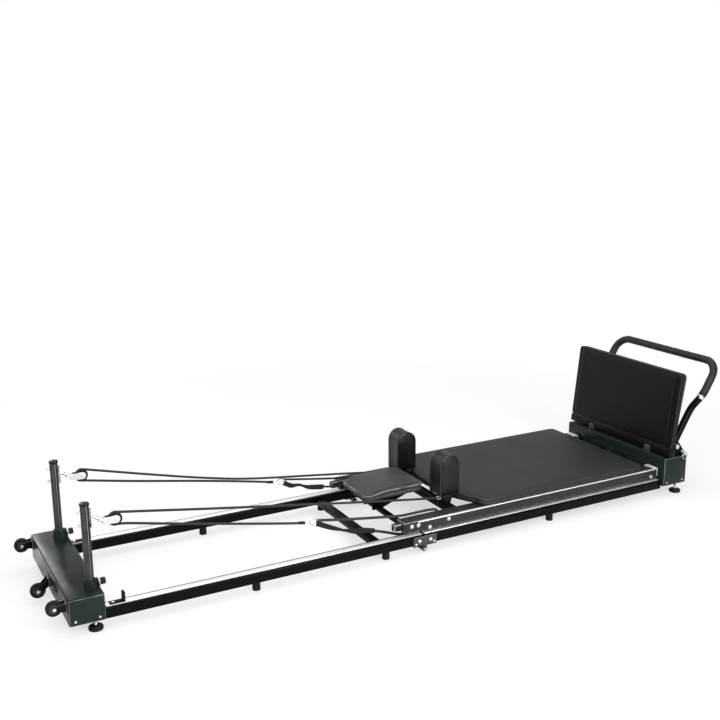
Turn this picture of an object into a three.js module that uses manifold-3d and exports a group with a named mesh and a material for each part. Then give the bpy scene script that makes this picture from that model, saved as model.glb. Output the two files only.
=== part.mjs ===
// Folding pilates reformer, in millimetres. +Z is up, +X is the foot end, +Y is the far side.
// Heights are from the floor. Lengths along X are from the fold line, and the finished group is
// shifted at the end so that its origin is the middle of its footprint.
import * as THREE from "three";
import { mergeVertices } from "three/addons/utils/BufferGeometryUtils.js";
import Module from "manifold-3d";

// Driving dimensions
const HEAD_END = -1200;          // outer face of the box at the head end
const FOOT_END = 1200;           // outer face of the box at the foot end
const HEAD_BOX = { length: 107, halfWidth: 276, bottom: 31, top: 114 };
const FOOT_BOX = { length: 116, halfWidth: 287, bottom: 43, top: 156 };
const BOX_WALL = 3;
const RAIL = { inner: 227, outer: 274, bottom: 32, top: 67, wall: 3, track: 24, bead: 3 };
const FOLD = { height: 15, split: 1.2, barrel: 9, pin: 4 };
const BEAM = { head: -75, foot: 1072, inner: 212, outer: 262, bottom: 80, top: 116, wall: 3 };
const CARRIAGE_WHEEL = { radius: 17.7, width: 18, height: 85, lateral: 240, at: [28, 1041] };
const MAT = { head: 173, shoulder: 240, foot: 984, halfWidth: 275, board: 11.4, pad: 18, crown: 3 };
const HEADREST = { head: -130, foot: 105, halfWidth: 100, bottom: 149, pad: 32, crown: 4 };
const SHOULDER = { x: 158, y: 149, length: 80, width: 84, bottom: 148, top: 300 };
const POST = { x: -1120, y: 211, radius: 13, bottom: 45, top: 378 };
const PULLEY = { x: -1033, z: 313, radius: 20, groove: 15, width: 13 };
const CASTER = { radius: 24, width: 18, x: -1236, outerY: 251, outerZ: 91, middleZ: 38 };
const BOARD = { pivotX: 1117, pivotZ: 172, ahead: 16, thickness: 28, halfWidth: 295, below: 12 };
const BOARD_HEIGHT = 331;
const BOARD_LEAN = 6.3;          // degrees back from upright
const BAR = { pivotX: 1158, pivotZ: 192, topX: 1345, topZ: 507, radius: 15, low: 250, high: 277 };
const SPRING = { count: 5, pitchY: 76, z: 101, coil: 10, wire: 3.2, curls: 9, from: 830, to: 985 };
const CURL_STEPS = 7;            // straight runs of wire in one turn of a spring
const SPRING_BAR_X = 1052;
const SPRING_ANCHOR_X = 700;
const HOOK = { near: { x: -391, z: 160 }, far: { x: -340, z: 168 } };
const HOOK_Y = 190;
const ROPE_RADIUS = 4;
const ROPE_EYE = { x: 114.8, y: 165, z: 140 };  // where a rope ends on the shoulder pad's base
const STRAP_RADIUS = 5;
const LOCK_PIN = { ahead: 28, z: 168, ringZ: 155 };
const POST_BOLTS = [309, 352];
const KNOB_HEIGHT = 125;         // clamp knob of a post
const LOCK_KNOB = { x: -92, z: 98 };
const REST_PIN = { x: 88, z: 140 };
const DRAIN_HOLE = { radius: 6, y: 120 };
const GAP = 0.3;                 // clearance between pieces that touch

const SIDES = [["near", -1], ["far", 1]];
const HEAD_FACE = HEAD_END + HEAD_BOX.length;
const FOOT_FACE = FOOT_END - FOOT_BOX.length;

const wasm = await Module();
wasm.setup();

// A closed geometry as a solid that can be joined and cut
function solid(geometry) {
  const bare = geometry.clone();
  bare.deleteAttribute("normal");
  bare.deleteAttribute("uv");
  const welded = mergeVertices(bare, 1e-4);
  return new wasm.Manifold(new wasm.Mesh({
    numProp: 3,
    vertProperties: new Float32Array(welded.attributes.position.array),
    triVerts: new Uint32Array(welded.index.array),
  }));
}

function shell(manifold) {
  const mesh = manifold.getMesh();
  const geometry = new THREE.BufferGeometry();
  geometry.setAttribute("position", new THREE.BufferAttribute(mesh.vertProperties, 3));
  geometry.setIndex(new THREE.BufferAttribute(mesh.triVerts, 1));
  geometry.computeVertexNormals();
  return geometry;
}

function join(...pieces) {
  return shell(pieces.map(solid).reduce((whole, piece) => whole.add(piece)));
}

function cut(body, ...tools) {
  return shell(tools.map(solid).reduce((whole, tool) => whole.subtract(tool), solid(body)));
}

// Basic stock
function block(low, high) {
  const size = high.map((value, axis) => value - low[axis]);
  const middle = high.map((value, axis) => (value + low[axis]) / 2);
  return new THREE.BoxGeometry(...size).translate(...middle);
}

// A block mirrored to either side of the centre line: inner and outer are distances from it
function sideBlock(s, [x0, x1], [inner, outer], [z0, z1]) {
  return block([x0, Math.min(s * inner, s * outer), z0], [x1, Math.max(s * inner, s * outer), z1]);
}

function rod(radius, start, end, sides = 12) {
  const from = new THREE.Vector3(...start);
  const to = new THREE.Vector3(...end);
  const way = to.clone().sub(from);
  const geometry = new THREE.CylinderGeometry(radius, radius, way.length(), sides);
  const turn = new THREE.Quaternion().setFromUnitVectors(new THREE.Vector3(0, 1, 0), way.normalize());
  geometry.applyQuaternion(turn);
  return geometry.translate(...from.add(to).multiplyScalar(0.5).toArray());
}

function outline(points) {
  return new THREE.Shape(points.map(([a, b]) => new THREE.Vector2(a, b)));
}

function roundedRectangle([a0, b0], [a1, b1], radius) {
  const shape = new THREE.Shape();
  shape.moveTo(a0 + radius, b0);
  shape.lineTo(a1 - radius, b0);
  shape.absarc(a1 - radius, b0 + radius, radius, -Math.PI / 2, 0);
  shape.lineTo(a1, b1 - radius);
  shape.absarc(a1 - radius, b1 - radius, radius, 0, Math.PI / 2);
  shape.lineTo(a0 + radius, b1);
  shape.absarc(a0 + radius, b1 - radius, radius, Math.PI / 2, Math.PI);
  shape.lineTo(a0, b0 + radius);
  shape.absarc(a0 + radius, b0 + radius, radius, Math.PI, 1.5 * Math.PI);
  return shape;
}

// Outlines pulled along one axis
function alongX(shape, x0, x1, curveSegments = 6) {
  const geometry = new THREE.ExtrudeGeometry(shape, { depth: x1 - x0, bevelEnabled: false, curveSegments });
  return geometry.applyMatrix4(new THREE.Matrix4().set(0, 0, 1, x0, 1, 0, 0, 0, 0, 1, 0, 0, 0, 0, 0, 1));
}

function alongY(shape, y0, y1, curveSegments = 6) {
  const geometry = new THREE.ExtrudeGeometry(shape, { depth: y1 - y0, bevelEnabled: false, curveSegments });
  return geometry.rotateX(Math.PI / 2).translate(0, y1, 0);
}

function alongZ(shape, z0, z1, curveSegments = 6) {
  const geometry = new THREE.ExtrudeGeometry(shape, { depth: z1 - z0, bevelEnabled: false, curveSegments });
  return geometry.translate(0, 0, z0);
}

// A cushion: an outline in X and Y with rounded edges, sides drawn in at half height and a crown
function cushion(shape, count, height, edge, crown) {
  const points = shape.getSpacedPoints(count).slice(0, count);
  if (THREE.ShapeUtils.isClockWise(points)) {
    points.reverse();
  }
  const middle = points.reduce((sum, point) => sum.add(point), new THREE.Vector2()).divideScalar(count);
  const inset = (point, depth) => {
    const way = point.clone().sub(middle);
    return middle.clone().addScaledVector(way, 1 - depth / way.length());
  };
  const inward = (point, share) => middle.clone().lerp(point, share);
  const soft = edge * 0.3;
  const rings = [
    [(point) => inset(point, edge), 0],
    [(point) => inset(point, 0), edge],
    [(point) => inset(point, soft), height / 2],
    [(point) => inset(point, 0), height - edge],
    [(point) => inset(point, edge), height],
    [(point) => inward(point, 0.72), height + crown * 0.55],
    [(point) => inward(point, 0.4), height + crown * 0.9],
  ];
  const positions = [];
  for (const [place, z] of rings) {
    for (const point of points) {
      const spot = place(point);
      positions.push(spot.x, spot.y, z);
    }
  }
  const below = rings.length * count;
  const above = below + 1;
  positions.push(middle.x, middle.y, 0, middle.x, middle.y, height + crown);
  const faces = [];
  for (let i = 0; i < count; i += 1) {
    const next = (i + 1) % count;
    faces.push(below, next, i);
    for (let ring = 0; ring < rings.length - 1; ring += 1) {
      const low = ring * count;
      const high = low + count;
      faces.push(low + i, low + next, high + next, low + i, high + next, high + i);
    }
    const last = (rings.length - 1) * count;
    faces.push(last + i, last + next, above);
  }
  const geometry = new THREE.BufferGeometry();
  geometry.setAttribute("position", new THREE.Float32BufferAttribute(positions, 3));
  geometry.setIndex(faces);
  geometry.computeVertexNormals();
  return geometry;
}

// Finishes
function finish(color, roughness, metalness) {
  return new THREE.MeshStandardMaterial({ color, roughness, metalness });
}

const BOX_PAINT = finish(0x23292a, 0.28, 0.3);
const BLACK_STEEL = finish(0x141617, 0.4, 0.5);
const BEAM_GREY = finish(0x2b2f31, 0.45, 0.5);
const CHROME = finish(0xd4d8da, 0.12, 1.0);
const UPHOLSTERY = finish(0x26282a, 0.6, 0.0);
const BOARD_COVER = finish(0x101112, 0.55, 0.0);
const RUBBER = finish(0x111212, 0.75, 0.0);
const PLASTIC = finish(0x0f1011, 0.4, 0.0);
const PLYWOOD = finish(0x1a1918, 0.7, 0.0);
const ROPE_BLACK = finish(0x0e0e0f, 0.85, 0.0);

const reformer = new THREE.Group();
reformer.name = "folding_pilates_reformer";

function add(name, geometry, material) {
  const mesh = new THREE.Mesh(geometry, material);
  mesh.name = name;
  reformer.add(mesh);
  return mesh;
}

// Welded sheet box with drain holes in its floor
function sheetBox([x0, x1], box, holes) {
  const outside = block([x0, -box.halfWidth, box.bottom], [x1, box.halfWidth, box.top]);
  const inside = block(
    [x0 + BOX_WALL, -box.halfWidth + BOX_WALL, box.bottom + BOX_WALL],
    [x1 - BOX_WALL, box.halfWidth - BOX_WALL, box.top - BOX_WALL],
  );
  return cut(outside, inside, ...holes);
}

// Round levelling foot with a stem and a flange against the box above it
function discFoot(x, y, top) {
  const profile = [[0, 0], [20, 0], [22, 3], [22, 10], [8, 14], [8, top - GAP], [0, top - GAP]];
  const geometry = new THREE.LatheGeometry(profile.map(([r, z]) => new THREE.Vector2(r, z)), 14);
  return geometry.rotateX(Math.PI / 2).translate(x, y, 0);
}

// Rail tube with a bead along its top that the wheels run on
function railTube(s, x0, x1) {
  const shoulder = RAIL.top - RAIL.bead;
  const middle = (RAIL.inner + RAIL.outer) / 2;
  const half = RAIL.track / 2;
  const side = (y, z) => [s * y, z];
  const shape = outline([
    side(RAIL.inner, RAIL.bottom), side(RAIL.outer, RAIL.bottom), side(RAIL.outer, shoulder),
    side(middle + half, shoulder), side(middle + half, RAIL.top), side(middle - half, RAIL.top),
    side(middle - half, shoulder), side(RAIL.inner, shoulder),
  ]);
  const bore = sideBlock(s, [x0 - 1, x1 + 1], [RAIL.inner + RAIL.wall, RAIL.outer - RAIL.wall],
    [RAIL.bottom + RAIL.wall, shoulder - RAIL.wall]);
  return cut(alongX(shape, x0, x1), bore);
}

const railMiddle = (RAIL.inner + RAIL.outer) / 2;

function railPad(s, x) {
  return rod(13, [x, s * railMiddle, 0], [x, s * railMiddle, RAIL.bottom + 1], 16);
}

// Foot box, foot rails and their feet
function drainHoles(x, bottom) {
  return SIDES.map(([, s]) => {
    const y = s * DRAIN_HOLE.y;
    return rod(DRAIN_HOLE.radius, [x, y, bottom - 1], [x, y, bottom + 10]);
  });
}

const footHoles = drainHoles(FOOT_END - 60, FOOT_BOX.bottom);
add("foot_box", sheetBox([FOOT_FACE, FOOT_END], FOOT_BOX, footHoles), BOX_PAINT);

// One half of the fold hinge: an angle under and beside the rail, with a web down to its barrel
function hingeLeaf(s, way, barrelFrom, barrelTo) {
  const from = way * FOLD.split;
  const to = way * 45;
  const span = [Math.min(from, to), Math.max(from, to)];
  const lower = sideBlock(s, span, [RAIL.inner, RAIL.outer + 3.4], [RAIL.bottom - 3.3, RAIL.bottom - GAP]);
  const cheek = sideBlock(s, span, [RAIL.outer + GAP, RAIL.outer + 3.4], [RAIL.bottom - 3.3, RAIL.top - 4]);
  const webSpan = [Math.min(from, way * FOLD.barrel), Math.max(from, way * FOLD.barrel)];
  const web = sideBlock(s, webSpan, [barrelFrom, barrelTo], [FOLD.height, RAIL.bottom - 3]);
  const barrel = rod(FOLD.barrel, [0, s * barrelFrom, FOLD.height], [0, s * barrelTo, FOLD.height], 14);
  return [lower, cheek, web, barrel];
}

const BARREL_MIDDLE = 250;
for (const [side, s] of SIDES) {
  const bolt = rod(6, [22, s * (RAIL.outer + 2), 48], [22, s * (RAIL.outer + 6), 48], 6);
  const rail = join(railTube(s, FOLD.split, FOOT_FACE - GAP), railPad(s, 555));
  const seat = sideBlock(s, [4, 42], [RAIL.inner + 6, RAIL.outer - 6], [RAIL.bottom - 1, RAIL.bottom + 1]);
  const leaf = hingeLeaf(s, 1, BARREL_MIDDLE + GAP, RAIL.outer);
  const holeEnds = [BARREL_MIDDLE - 1, RAIL.outer + 1].map((y) => [0, s * y, FOLD.height]);
  const hole = rod(FOLD.pin + GAP, ...holeEnds);
  const web = rod(3, [22, s * (RAIL.outer - 1), 52], [22, s * (RAIL.outer + 1), 52], 8);
  add(`foot_rail_${side}`, cut(join(rail, seat, ...leaf, bolt, web), hole), BLACK_STEEL);
  add(`foot_disc_${side}`, discFoot(1172, s * 262, FOOT_BOX.bottom), RUBBER);
}

// Spring bar on arms that stand off the foot box, with an eye for each spring
const springY = (index) => (index - (SPRING.count - 1) / 2) * SPRING.pitchY;
const springArms = [-195, -65, 65, 195].map((y) =>
  block([SPRING_BAR_X, y - 8, SPRING.z - 4], [FOOT_FACE - GAP, y + 8, SPRING.z + 4]));
const springRod = rod(8, [SPRING_BAR_X, -204, SPRING.z], [SPRING_BAR_X, 204, SPRING.z]);
add("spring_bar", join(springRod, ...springArms), CHROME);

// Pivot bracket of the foot bar, with its bolt
for (const [side, s] of SIDES) {
  const floor = FOOT_BOX.top + GAP;
  const span = [BAR.pivotX - 16, BAR.pivotX + 40];
  const base = sideBlock(s, span, [BAR.low - 22, BAR.low + 22], [floor, floor + 3]);
  const ear = outline([
    [BAR.pivotX - 14, floor + 1], [BAR.pivotX + 38, floor + 1], [BAR.pivotX + 38, floor + 16],
    [BAR.pivotX + 14, BAR.pivotZ + 12], [BAR.pivotX + 6, BAR.pivotZ + 17], [BAR.pivotX - 8, BAR.pivotZ + 17],
    [BAR.pivotX - 14, BAR.pivotZ + 10],
  ]);
  const ears = [-19, 19].map((offset) => {
    const middle = s * BAR.low + offset;
    return alongY(ear, middle - 1.8, middle + 1.8);
  });
  const onPivot = (reach) => [BAR.pivotX, s * (BAR.low + reach), BAR.pivotZ];
  const bolt = rod(5, onPivot(-28), onPivot(30));
  const head = rod(10, onPivot(20), onPivot(27), 6);
  const nut = rod(9, onPivot(-20), onPivot(-26), 6);
  const bracket = join(base, ...ears, bolt, head, nut);
  const onPin = (reach) => [BAR.pivotX + LOCK_PIN.ahead, s * (BAR.low + reach), LOCK_PIN.z];
  const pinHole = rod(4.4, onPin(-30), onPin(30));
  add(`bar_bracket_${side}`, cut(bracket, pinHole), BLACK_STEEL);
}

// Lock pin of the foot bar, with its pull ring, on the near side
const pinX = BAR.pivotX + LOCK_PIN.ahead;
const pinAt = (reach) => [pinX, -(BAR.low + reach), LOCK_PIN.z];
const pullRing = new THREE.TorusGeometry(13, 1.8, 6, 14).rotateX(Math.PI / 2);
pullRing.translate(pinX, -(BAR.low + 41), LOCK_PIN.ringZ);
const pinParts = [rod(4, pinAt(-24), pinAt(43), 12), rod(7, pinAt(22), pinAt(34), 12)];
add("lock_pin", join(...pinParts, pullRing), CHROME);

// Foot bar: one bent tube whose legs step outwards half way up
const along = (share) => [
  BAR.pivotX + (BAR.topX - BAR.pivotX) * share,
  BAR.pivotZ + (BAR.topZ - BAR.pivotZ) * share,
];
const barPoint = (share, y) => new THREE.Vector3(along(share)[0], y, along(share)[1]);
const BEND_START = 0.84;           // share of the leg where the top corner starts
const BEND_WIDTH = 60;
const barCurve = [
  barPoint(-0.03, -BAR.low), barPoint(0.4, -BAR.low), barPoint(0.48, -BAR.low - 6),
  barPoint(0.58, -BAR.high + 4), barPoint(0.66, -BAR.high), barPoint(BEND_START, -BAR.high),
];
for (const step of [0.25, 0.5, 0.75, 1]) {
  const angle = step * Math.PI / 2;
  const share = BEND_START + (1 - BEND_START) * Math.sin(angle);
  barCurve.push(barPoint(share, -BAR.high + BEND_WIDTH * (1 - Math.cos(angle))));
}
const mirrored = barCurve.map((point) => new THREE.Vector3(point.x, -point.y, point.z)).reverse();
const barRoute = [...barCurve, ...mirrored];

// A tube through given corners: one ring of points at each corner, in the mitre plane
function mitredTube(route, radius, sides) {
  const count = route.length;
  const positions = [];
  const faces = [];
  const way = (i) => route[Math.min(i + 1, count - 1)].clone().sub(route[Math.max(i - 1, 0)]).normalize();
  let normal = new THREE.Vector3(0, 1, 0).cross(way(0)).normalize();
  if (normal.length() < 0.5) {
    normal = new THREE.Vector3(1, 0, 0);
  }
  for (let i = 0; i < count; i += 1) {
    const ahead = way(i);
    normal = normal.clone().addScaledVector(ahead, -normal.dot(ahead)).normalize();
    const across = ahead.clone().cross(normal);
    for (let side = 0; side < sides; side += 1) {
      const angle = (side / sides) * 2 * Math.PI;
      const spot = route[i].clone()
        .addScaledVector(normal, radius * Math.cos(angle))
        .addScaledVector(across, radius * Math.sin(angle));
      positions.push(spot.x, spot.y, spot.z);
    }
  }
  for (let i = 0; i < count - 1; i += 1) {
    for (let side = 0; side < sides; side += 1) {
      const next = (side + 1) % sides;
      const a = i * sides;
      const b = a + sides;
      faces.push(a + side, a + next, b + next, a + side, b + next, b + side);
    }
  }
  for (let side = 1; side < sides - 1; side += 1) {
    const last = (count - 1) * sides;
    faces.push(0, side + 1, side, last, last + side, last + side + 1);
  }
  const geometry = new THREE.BufferGeometry();
  geometry.setAttribute("position", new THREE.Float32BufferAttribute(positions, 3));
  geometry.setIndex(faces);
  geometry.computeVertexNormals();
  return geometry;
}

const barBores = SIDES.map(([, s]) =>
  rod(5.4, [BAR.pivotX, s * (BAR.low - 20), BAR.pivotZ], [BAR.pivotX, s * (BAR.low + 20), BAR.pivotZ]));
add("foot_bar", cut(mitredTube(barRoute, BAR.radius, 12), ...barBores), RUBBER);

// Jump board: a padded board on two hinge blocks, leaning back a little
const boardPlace = new THREE.Matrix4()
  .makeTranslation(BOARD.pivotX, 0, BOARD.pivotZ)
  .multiply(new THREE.Matrix4().makeRotationY(THREE.MathUtils.degToRad(BOARD_LEAN)));
const boardTop = BOARD_HEIGHT - BOARD.below;
const boardOutline = roundedRectangle([-BOARD.halfWidth, -BOARD.below], [BOARD.halfWidth, boardTop], 26);
const boardPad = cushion(boardOutline, 32, BOARD.thickness - 3, 6, 3);
const standUp = new THREE.Matrix4();
standUp.set(0, 0, -1, BOARD.thickness - BOARD.ahead, -1, 0, 0, 0, 0, 1, 0, 0, 0, 0, 0, 1);
boardPad.applyMatrix4(standUp);
const boardCuts = [];
const hingeSole = FOOT_BOX.top + GAP - BOARD.pivotZ;
for (const [side, s] of SIDES) {
  boardCuts.push(sideBlock(s, [-40, 40], [146, 186], [-40, 14]));
  boardCuts.push(rod(4.4, [0, s * 130, 0], [0, s * 202, 0]));
  const cheeks = outline([[-12, hingeSole], [11, hingeSole], [11, 2], [6, 9], [-6, 9], [-12, 2]]);
  const hingeBlock = alongY(cheeks, Math.min(s * 148, s * 184), Math.max(s * 148, s * 184));
  const hingePin = rod(4, [0, s * 132, 0], [0, s * 200, 0]);
  const body = join(hingeBlock, hingePin).translate(BOARD.pivotX, 0, BOARD.pivotZ);
  add(`board_hinge_${side}`, body, BLACK_STEEL);
}
add("jump_board", cut(boardPad, ...boardCuts).applyMatrix4(boardPlace), BOARD_COVER);

// Head box with a sleeve for each post
const upright = (radius, s, z0, z1) => rod(radius, [POST.x, s * POST.y, z0], [POST.x, s * POST.y, z1], 16);
const headHoles = drainHoles(HEAD_END + 55, HEAD_BOX.bottom);
const sleeves = SIDES.map(([, s]) => upright(19, s, HEAD_BOX.top - 1, HEAD_BOX.top + 24));
const postBores = SIDES.map(([, s]) => upright(POST.radius + GAP, s, HEAD_BOX.bottom + 8, HEAD_BOX.top + 46));
const knobBores = SIDES.map(([, s]) => {
  const y = s * POST.y;
  return rod(4.4, [POST.x + 5, y, KNOB_HEIGHT], [POST.x + 30, y, KNOB_HEIGHT]);
});
const sleeved = join(sheetBox([HEAD_END, HEAD_FACE], HEAD_BOX, headHoles), ...sleeves);
add("head_box", cut(sleeved, ...postBores, ...knobBores), BOX_PAINT);

for (const [side, s] of SIDES) {
  const y = s * POST.y;
  // Head rail with its end stop, its pads and the bolts of the hinge
  const stop = [
    sideBlock(s, [-1078, -1030], [railMiddle - 10, railMiddle + 10], [RAIL.top - 4, RAIL.top + 3]),
    sideBlock(s, [-1038, -1030], [railMiddle - 10, railMiddle + 10], [RAIL.top - 4, 97]),
  ];
  const pads = [-612, -140].map((x) => railPad(s, x));
  add(`head_rail_${side}`, join(railTube(s, HEAD_FACE + GAP, -FOLD.split), ...stop, ...pads), BLACK_STEEL);

  const leaf = hingeLeaf(s, -1, RAIL.inner + 3, BARREL_MIDDLE - GAP);
  const onFold = (y) => [0, s * y, FOLD.height];
  const pin = rod(FOLD.pin, onFold(RAIL.inner - 2), onFold(RAIL.outer + 4), 16);
  const pinHead = rod(7, onFold(RAIL.inner - 5), onFold(RAIL.inner + 1), 12);
  const boltHead = rod(6, [-22, s * (RAIL.outer + 2), 48], [-22, s * (RAIL.outer + 6), 48], 6);
  add(`hinge_leaf_${side}`, join(...leaf, pin, pinHead, boltHead), BEAM_GREY);
  add(`head_disc_${side}`, discFoot(-1122, s * 258, HEAD_BOX.bottom), RUBBER);

  // Post with its cap, drilled for the two bolts of the pulley bracket
  const post = join(
    rod(POST.radius, [POST.x, y, POST.bottom], [POST.x, y, POST.top - 6], 16),
    rod(POST.radius + 2, [POST.x, y, POST.top - 8], [POST.x, y, POST.top], 16),
  );
  const drills = POST_BOLTS.map((z) => rod(3.4, [POST.x - 20, y, z], [POST.x + 20, y, z], 8));
  const drilled = cut(post, ...drills);
  add(`post_${side}`, drilled, CHROME);

  // Clamp knob in the sleeve
  const knob = join(
    rod(4, [POST.x + POST.radius + 1, y, KNOB_HEIGHT], [POST.x + 36, y, KNOB_HEIGHT], 12),
    rod(11, [POST.x + 30, y, KNOB_HEIGHT], [POST.x + 45, y, KNOB_HEIGHT], 10),
  );
  add(`post_knob_${side}`, knob, PLASTIC);

  // Pulley bracket: plate, bolts with nuts behind the post, eye, cheeks and axle
  const face = POST.x + POST.radius + 1;
  const cheek = roundedRectangle([PULLEY.x - 40, PULLEY.z - 13], [PULLEY.x + 13, PULLEY.z + 13], 12.5);
  const half = PULLEY.width / 2 + 1.2;
  const parts = [
    block([face, y - 11, 299], [face + 4, y + 11, 362]),
    ...POST_BOLTS.map((z) => rod(3, [POST.x - 24, y, z], [face + 9, y, z], 8)),
    ...POST_BOLTS.map((z) => rod(6, [POST.x - 21, y, z], [POST.x - POST.radius - 1, y, z], 6)),
    rod(5, [face + 2, y, 330], [PULLEY.x - 34, y, PULLEY.z + 2], 10),
    block([PULLEY.x - 39, y - half - 2, PULLEY.z - 9], [PULLEY.x - 27, y + half + 2, PULLEY.z + 9]),
    ...[-1, 1].map((flank) => alongY(cheek, y + flank * (half + 1) - 1, y + flank * (half + 1) + 1, 3)),
    rod(4, [PULLEY.x, y - half - 5, PULLEY.z], [PULLEY.x, y + half + 5, PULLEY.z], 16),
  ];
  add(`pulley_block_${side}`, join(...parts), CHROME);

  const w = PULLEY.width / 2;
  const bore = 4 + GAP;
  const wheel = [[bore, -w], [PULLEY.radius, -w], [PULLEY.radius, -w + 1.2], [PULLEY.groove, -3.4],
    [PULLEY.groove, 3.4], [PULLEY.radius, w - 1.2], [PULLEY.radius, w], [bore, w], [bore, -w]];
  const sheave = new THREE.LatheGeometry(wheel.map(([r, z]) => new THREE.Vector2(r, z)), 16);
  add(`pulley_sheave_${side}`, shell(solid(sheave)).translate(PULLEY.x, y, PULLEY.z), PLASTIC);
}

const crossOutline = roundedRectangle([-172, 34], [-142, 56], 4);
const crossBetween = RAIL.inner - GAP;
add("crossbar_head", alongY(crossOutline, -crossBetween, crossBetween, 3), BLACK_STEEL);

// Transport wheels on forks behind the head box
const casters = [
  ["near", -CASTER.outerY, CASTER.outerZ, 91],
  ["middle", 0, CASTER.middleZ, 66],
  ["far", CASTER.outerY, CASTER.outerZ, 91],
];
for (const [name, y, z, root] of casters) {
  const w = CASTER.width / 2;
  const plate = block([HEAD_END - 4, y - 17, root - 18], [HEAD_END - GAP, y + 17, root + 18]);
  const arm = outline([
    [HEAD_END - 2, root + 14], [HEAD_END - 2, root - 14], [CASTER.x + 4, z - 9], [CASTER.x - 7, z - 5],
    [CASTER.x - 7, z + 5], [CASTER.x, z + 10],
  ]);
  const arms = [-1, 1].map((flank) => {
    const middle = y + flank * (w + 2.3);
    return alongY(arm, middle - 1.3, middle + 1.3);
  });
  const axle = rod(4, [CASTER.x, y - w - 7, z], [CASTER.x, y + w + 7, z], 14);
  add(`caster_fork_${name}`, join(plate, ...arms, axle), BLACK_STEEL);
  const bore = 4 + GAP;
  const tread = [
    [bore, -w], [18, -w], [CASTER.radius, -w + 4], [CASTER.radius, w - 4], [18, w], [bore, w], [bore, -w],
  ];
  const wheel = new THREE.LatheGeometry(tread.map(([r, t]) => new THREE.Vector2(r, t)), 18);
  add(`caster_wheel_${name}`, shell(solid(wheel)).translate(CASTER.x, y, z), RUBBER);
}

// Carriage beams: channels open below, with the axle bolts of their wheels and the other bolts
for (const [side, s] of SIDES) {
  const channel = cut(
    sideBlock(s, [BEAM.head, BEAM.foot], [BEAM.inner, BEAM.outer], [BEAM.bottom, BEAM.top]),
    sideBlock(s, [BEAM.head + 6, BEAM.foot - 6], [BEAM.inner + BEAM.wall, BEAM.outer - BEAM.wall],
      [BEAM.bottom - 1, BEAM.top - BEAM.wall]),
  );
  const tongueSpan = [BEAM.head - 30, BEAM.head + 3];
  const tongue = sideBlock(s, tongueSpan, [BEAM.inner + 14, BEAM.inner + 36], [86, 110]);
  const onAxle = (x, y) => [x, s * y, CARRIAGE_WHEEL.height];
  const axles = CARRIAGE_WHEEL.at.map((x) =>
    rod(4, onAxle(x, BEAM.inner - 7), onAxle(x, BEAM.outer + 7), 12));
  const nuts = CARRIAGE_WHEEL.at.flatMap((x) => [
    rod(7, onAxle(x, BEAM.outer - 1), onAxle(x, BEAM.outer + 5), 6),
    rod(7, onAxle(x, BEAM.inner + 1), onAxle(x, BEAM.inner - 5), 6),
  ]);
  const heads = [-44, -18, 105].map((x) =>
    rod(6, [x, s * (BEAM.outer - 1), 100], [x, s * (BEAM.outer + 5), 100], 6));
  const onKnob = (reach) => [LOCK_KNOB.x, s * (BEAM.inner + reach), LOCK_KNOB.z];
  const knobHole = rod(5.4, onKnob(10), onKnob(40));
  add(`carriage_beam_${side}`, cut(join(channel, tongue, ...axles, ...nuts, ...heads), knobHole), BEAM_GREY);

  const knob = join(rod(5, onKnob(32), onKnob(6), 12), rod(10, onKnob(8), onKnob(-8), 12));
  add(`lock_knob_${side}`, knob, PLASTIC);

  CARRIAGE_WHEEL.at.forEach((x, index) => {
    const w = CARRIAGE_WHEEL.width / 2;
    const bore = 4 + GAP;
    const r = CARRIAGE_WHEEL.radius;
    const tyre = [[bore, -w], [r - 2, -w], [r, -w + 2], [r, w - 2], [r - 2, w], [bore, w], [bore, -w]];
    const wheel = new THREE.LatheGeometry(tyre.map(([a, b]) => new THREE.Vector2(a, b)), 16);
    const place = [x, s * CARRIAGE_WHEEL.lateral, CARRIAGE_WHEEL.height];
    const end = ["head", "foot"][index];
    add(`carriage_wheel_${end}_${side}`, shell(solid(wheel)).translate(...place), PLASTIC);
  });
}

// Crossbars of the carriage
const crossReach = BEAM.inner - GAP;
const armPlate = outline([[-72, 84], [-36, 84], [84, 128], [94, 136], [94, 143], [84, 148], [-72, 148]]);
const armPlates = [-32, 32].map((y) => alongY(armPlate, y - 2, y + 2));
const restPin = rod(4, [REST_PIN.x, -44, REST_PIN.z], [REST_PIN.x, 44, REST_PIN.z], 12);
add("headrest_crossbar", join(
  rod(11, [-54, -crossReach, 94], [-54, crossReach, 94], 14), ...armPlates, restPin,
), BLACK_STEEL);

const shoulderBases = SIDES.flatMap(([, s]) => {
  const y = s * SHOULDER.y;
  return [
    rod(22, [SHOULDER.x, y, 115], [SHOULDER.x, y, 138], 16),
    rod(27, [SHOULDER.x, y, 137], [SHOULDER.x, y, SHOULDER.bottom - GAP], 16),
  ];
});
const eyes = SIDES.map(([, s]) => {
  const y = s * ROPE_EYE.y;
  return block([SHOULDER.x - 42, y - 9, ROPE_EYE.z - 9], [SHOULDER.x - 12, y + 9, ROPE_EYE.z + 5]);
});
add("shoulder_crossbar", join(
  block([SHOULDER.x - 20, -crossReach, 92], [SHOULDER.x + 12, crossReach, BEAM.top - GAP]),
  ...shoulderBases,
  ...eyes,
), BLACK_STEEL);

const springCross = block(
  [SPRING_ANCHOR_X - 15, -crossReach, 90],
  [SPRING_ANCHOR_X + 15, crossReach, BEAM.top - GAP],
);
add("spring_crossbar", springCross, BLACK_STEEL);

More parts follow.
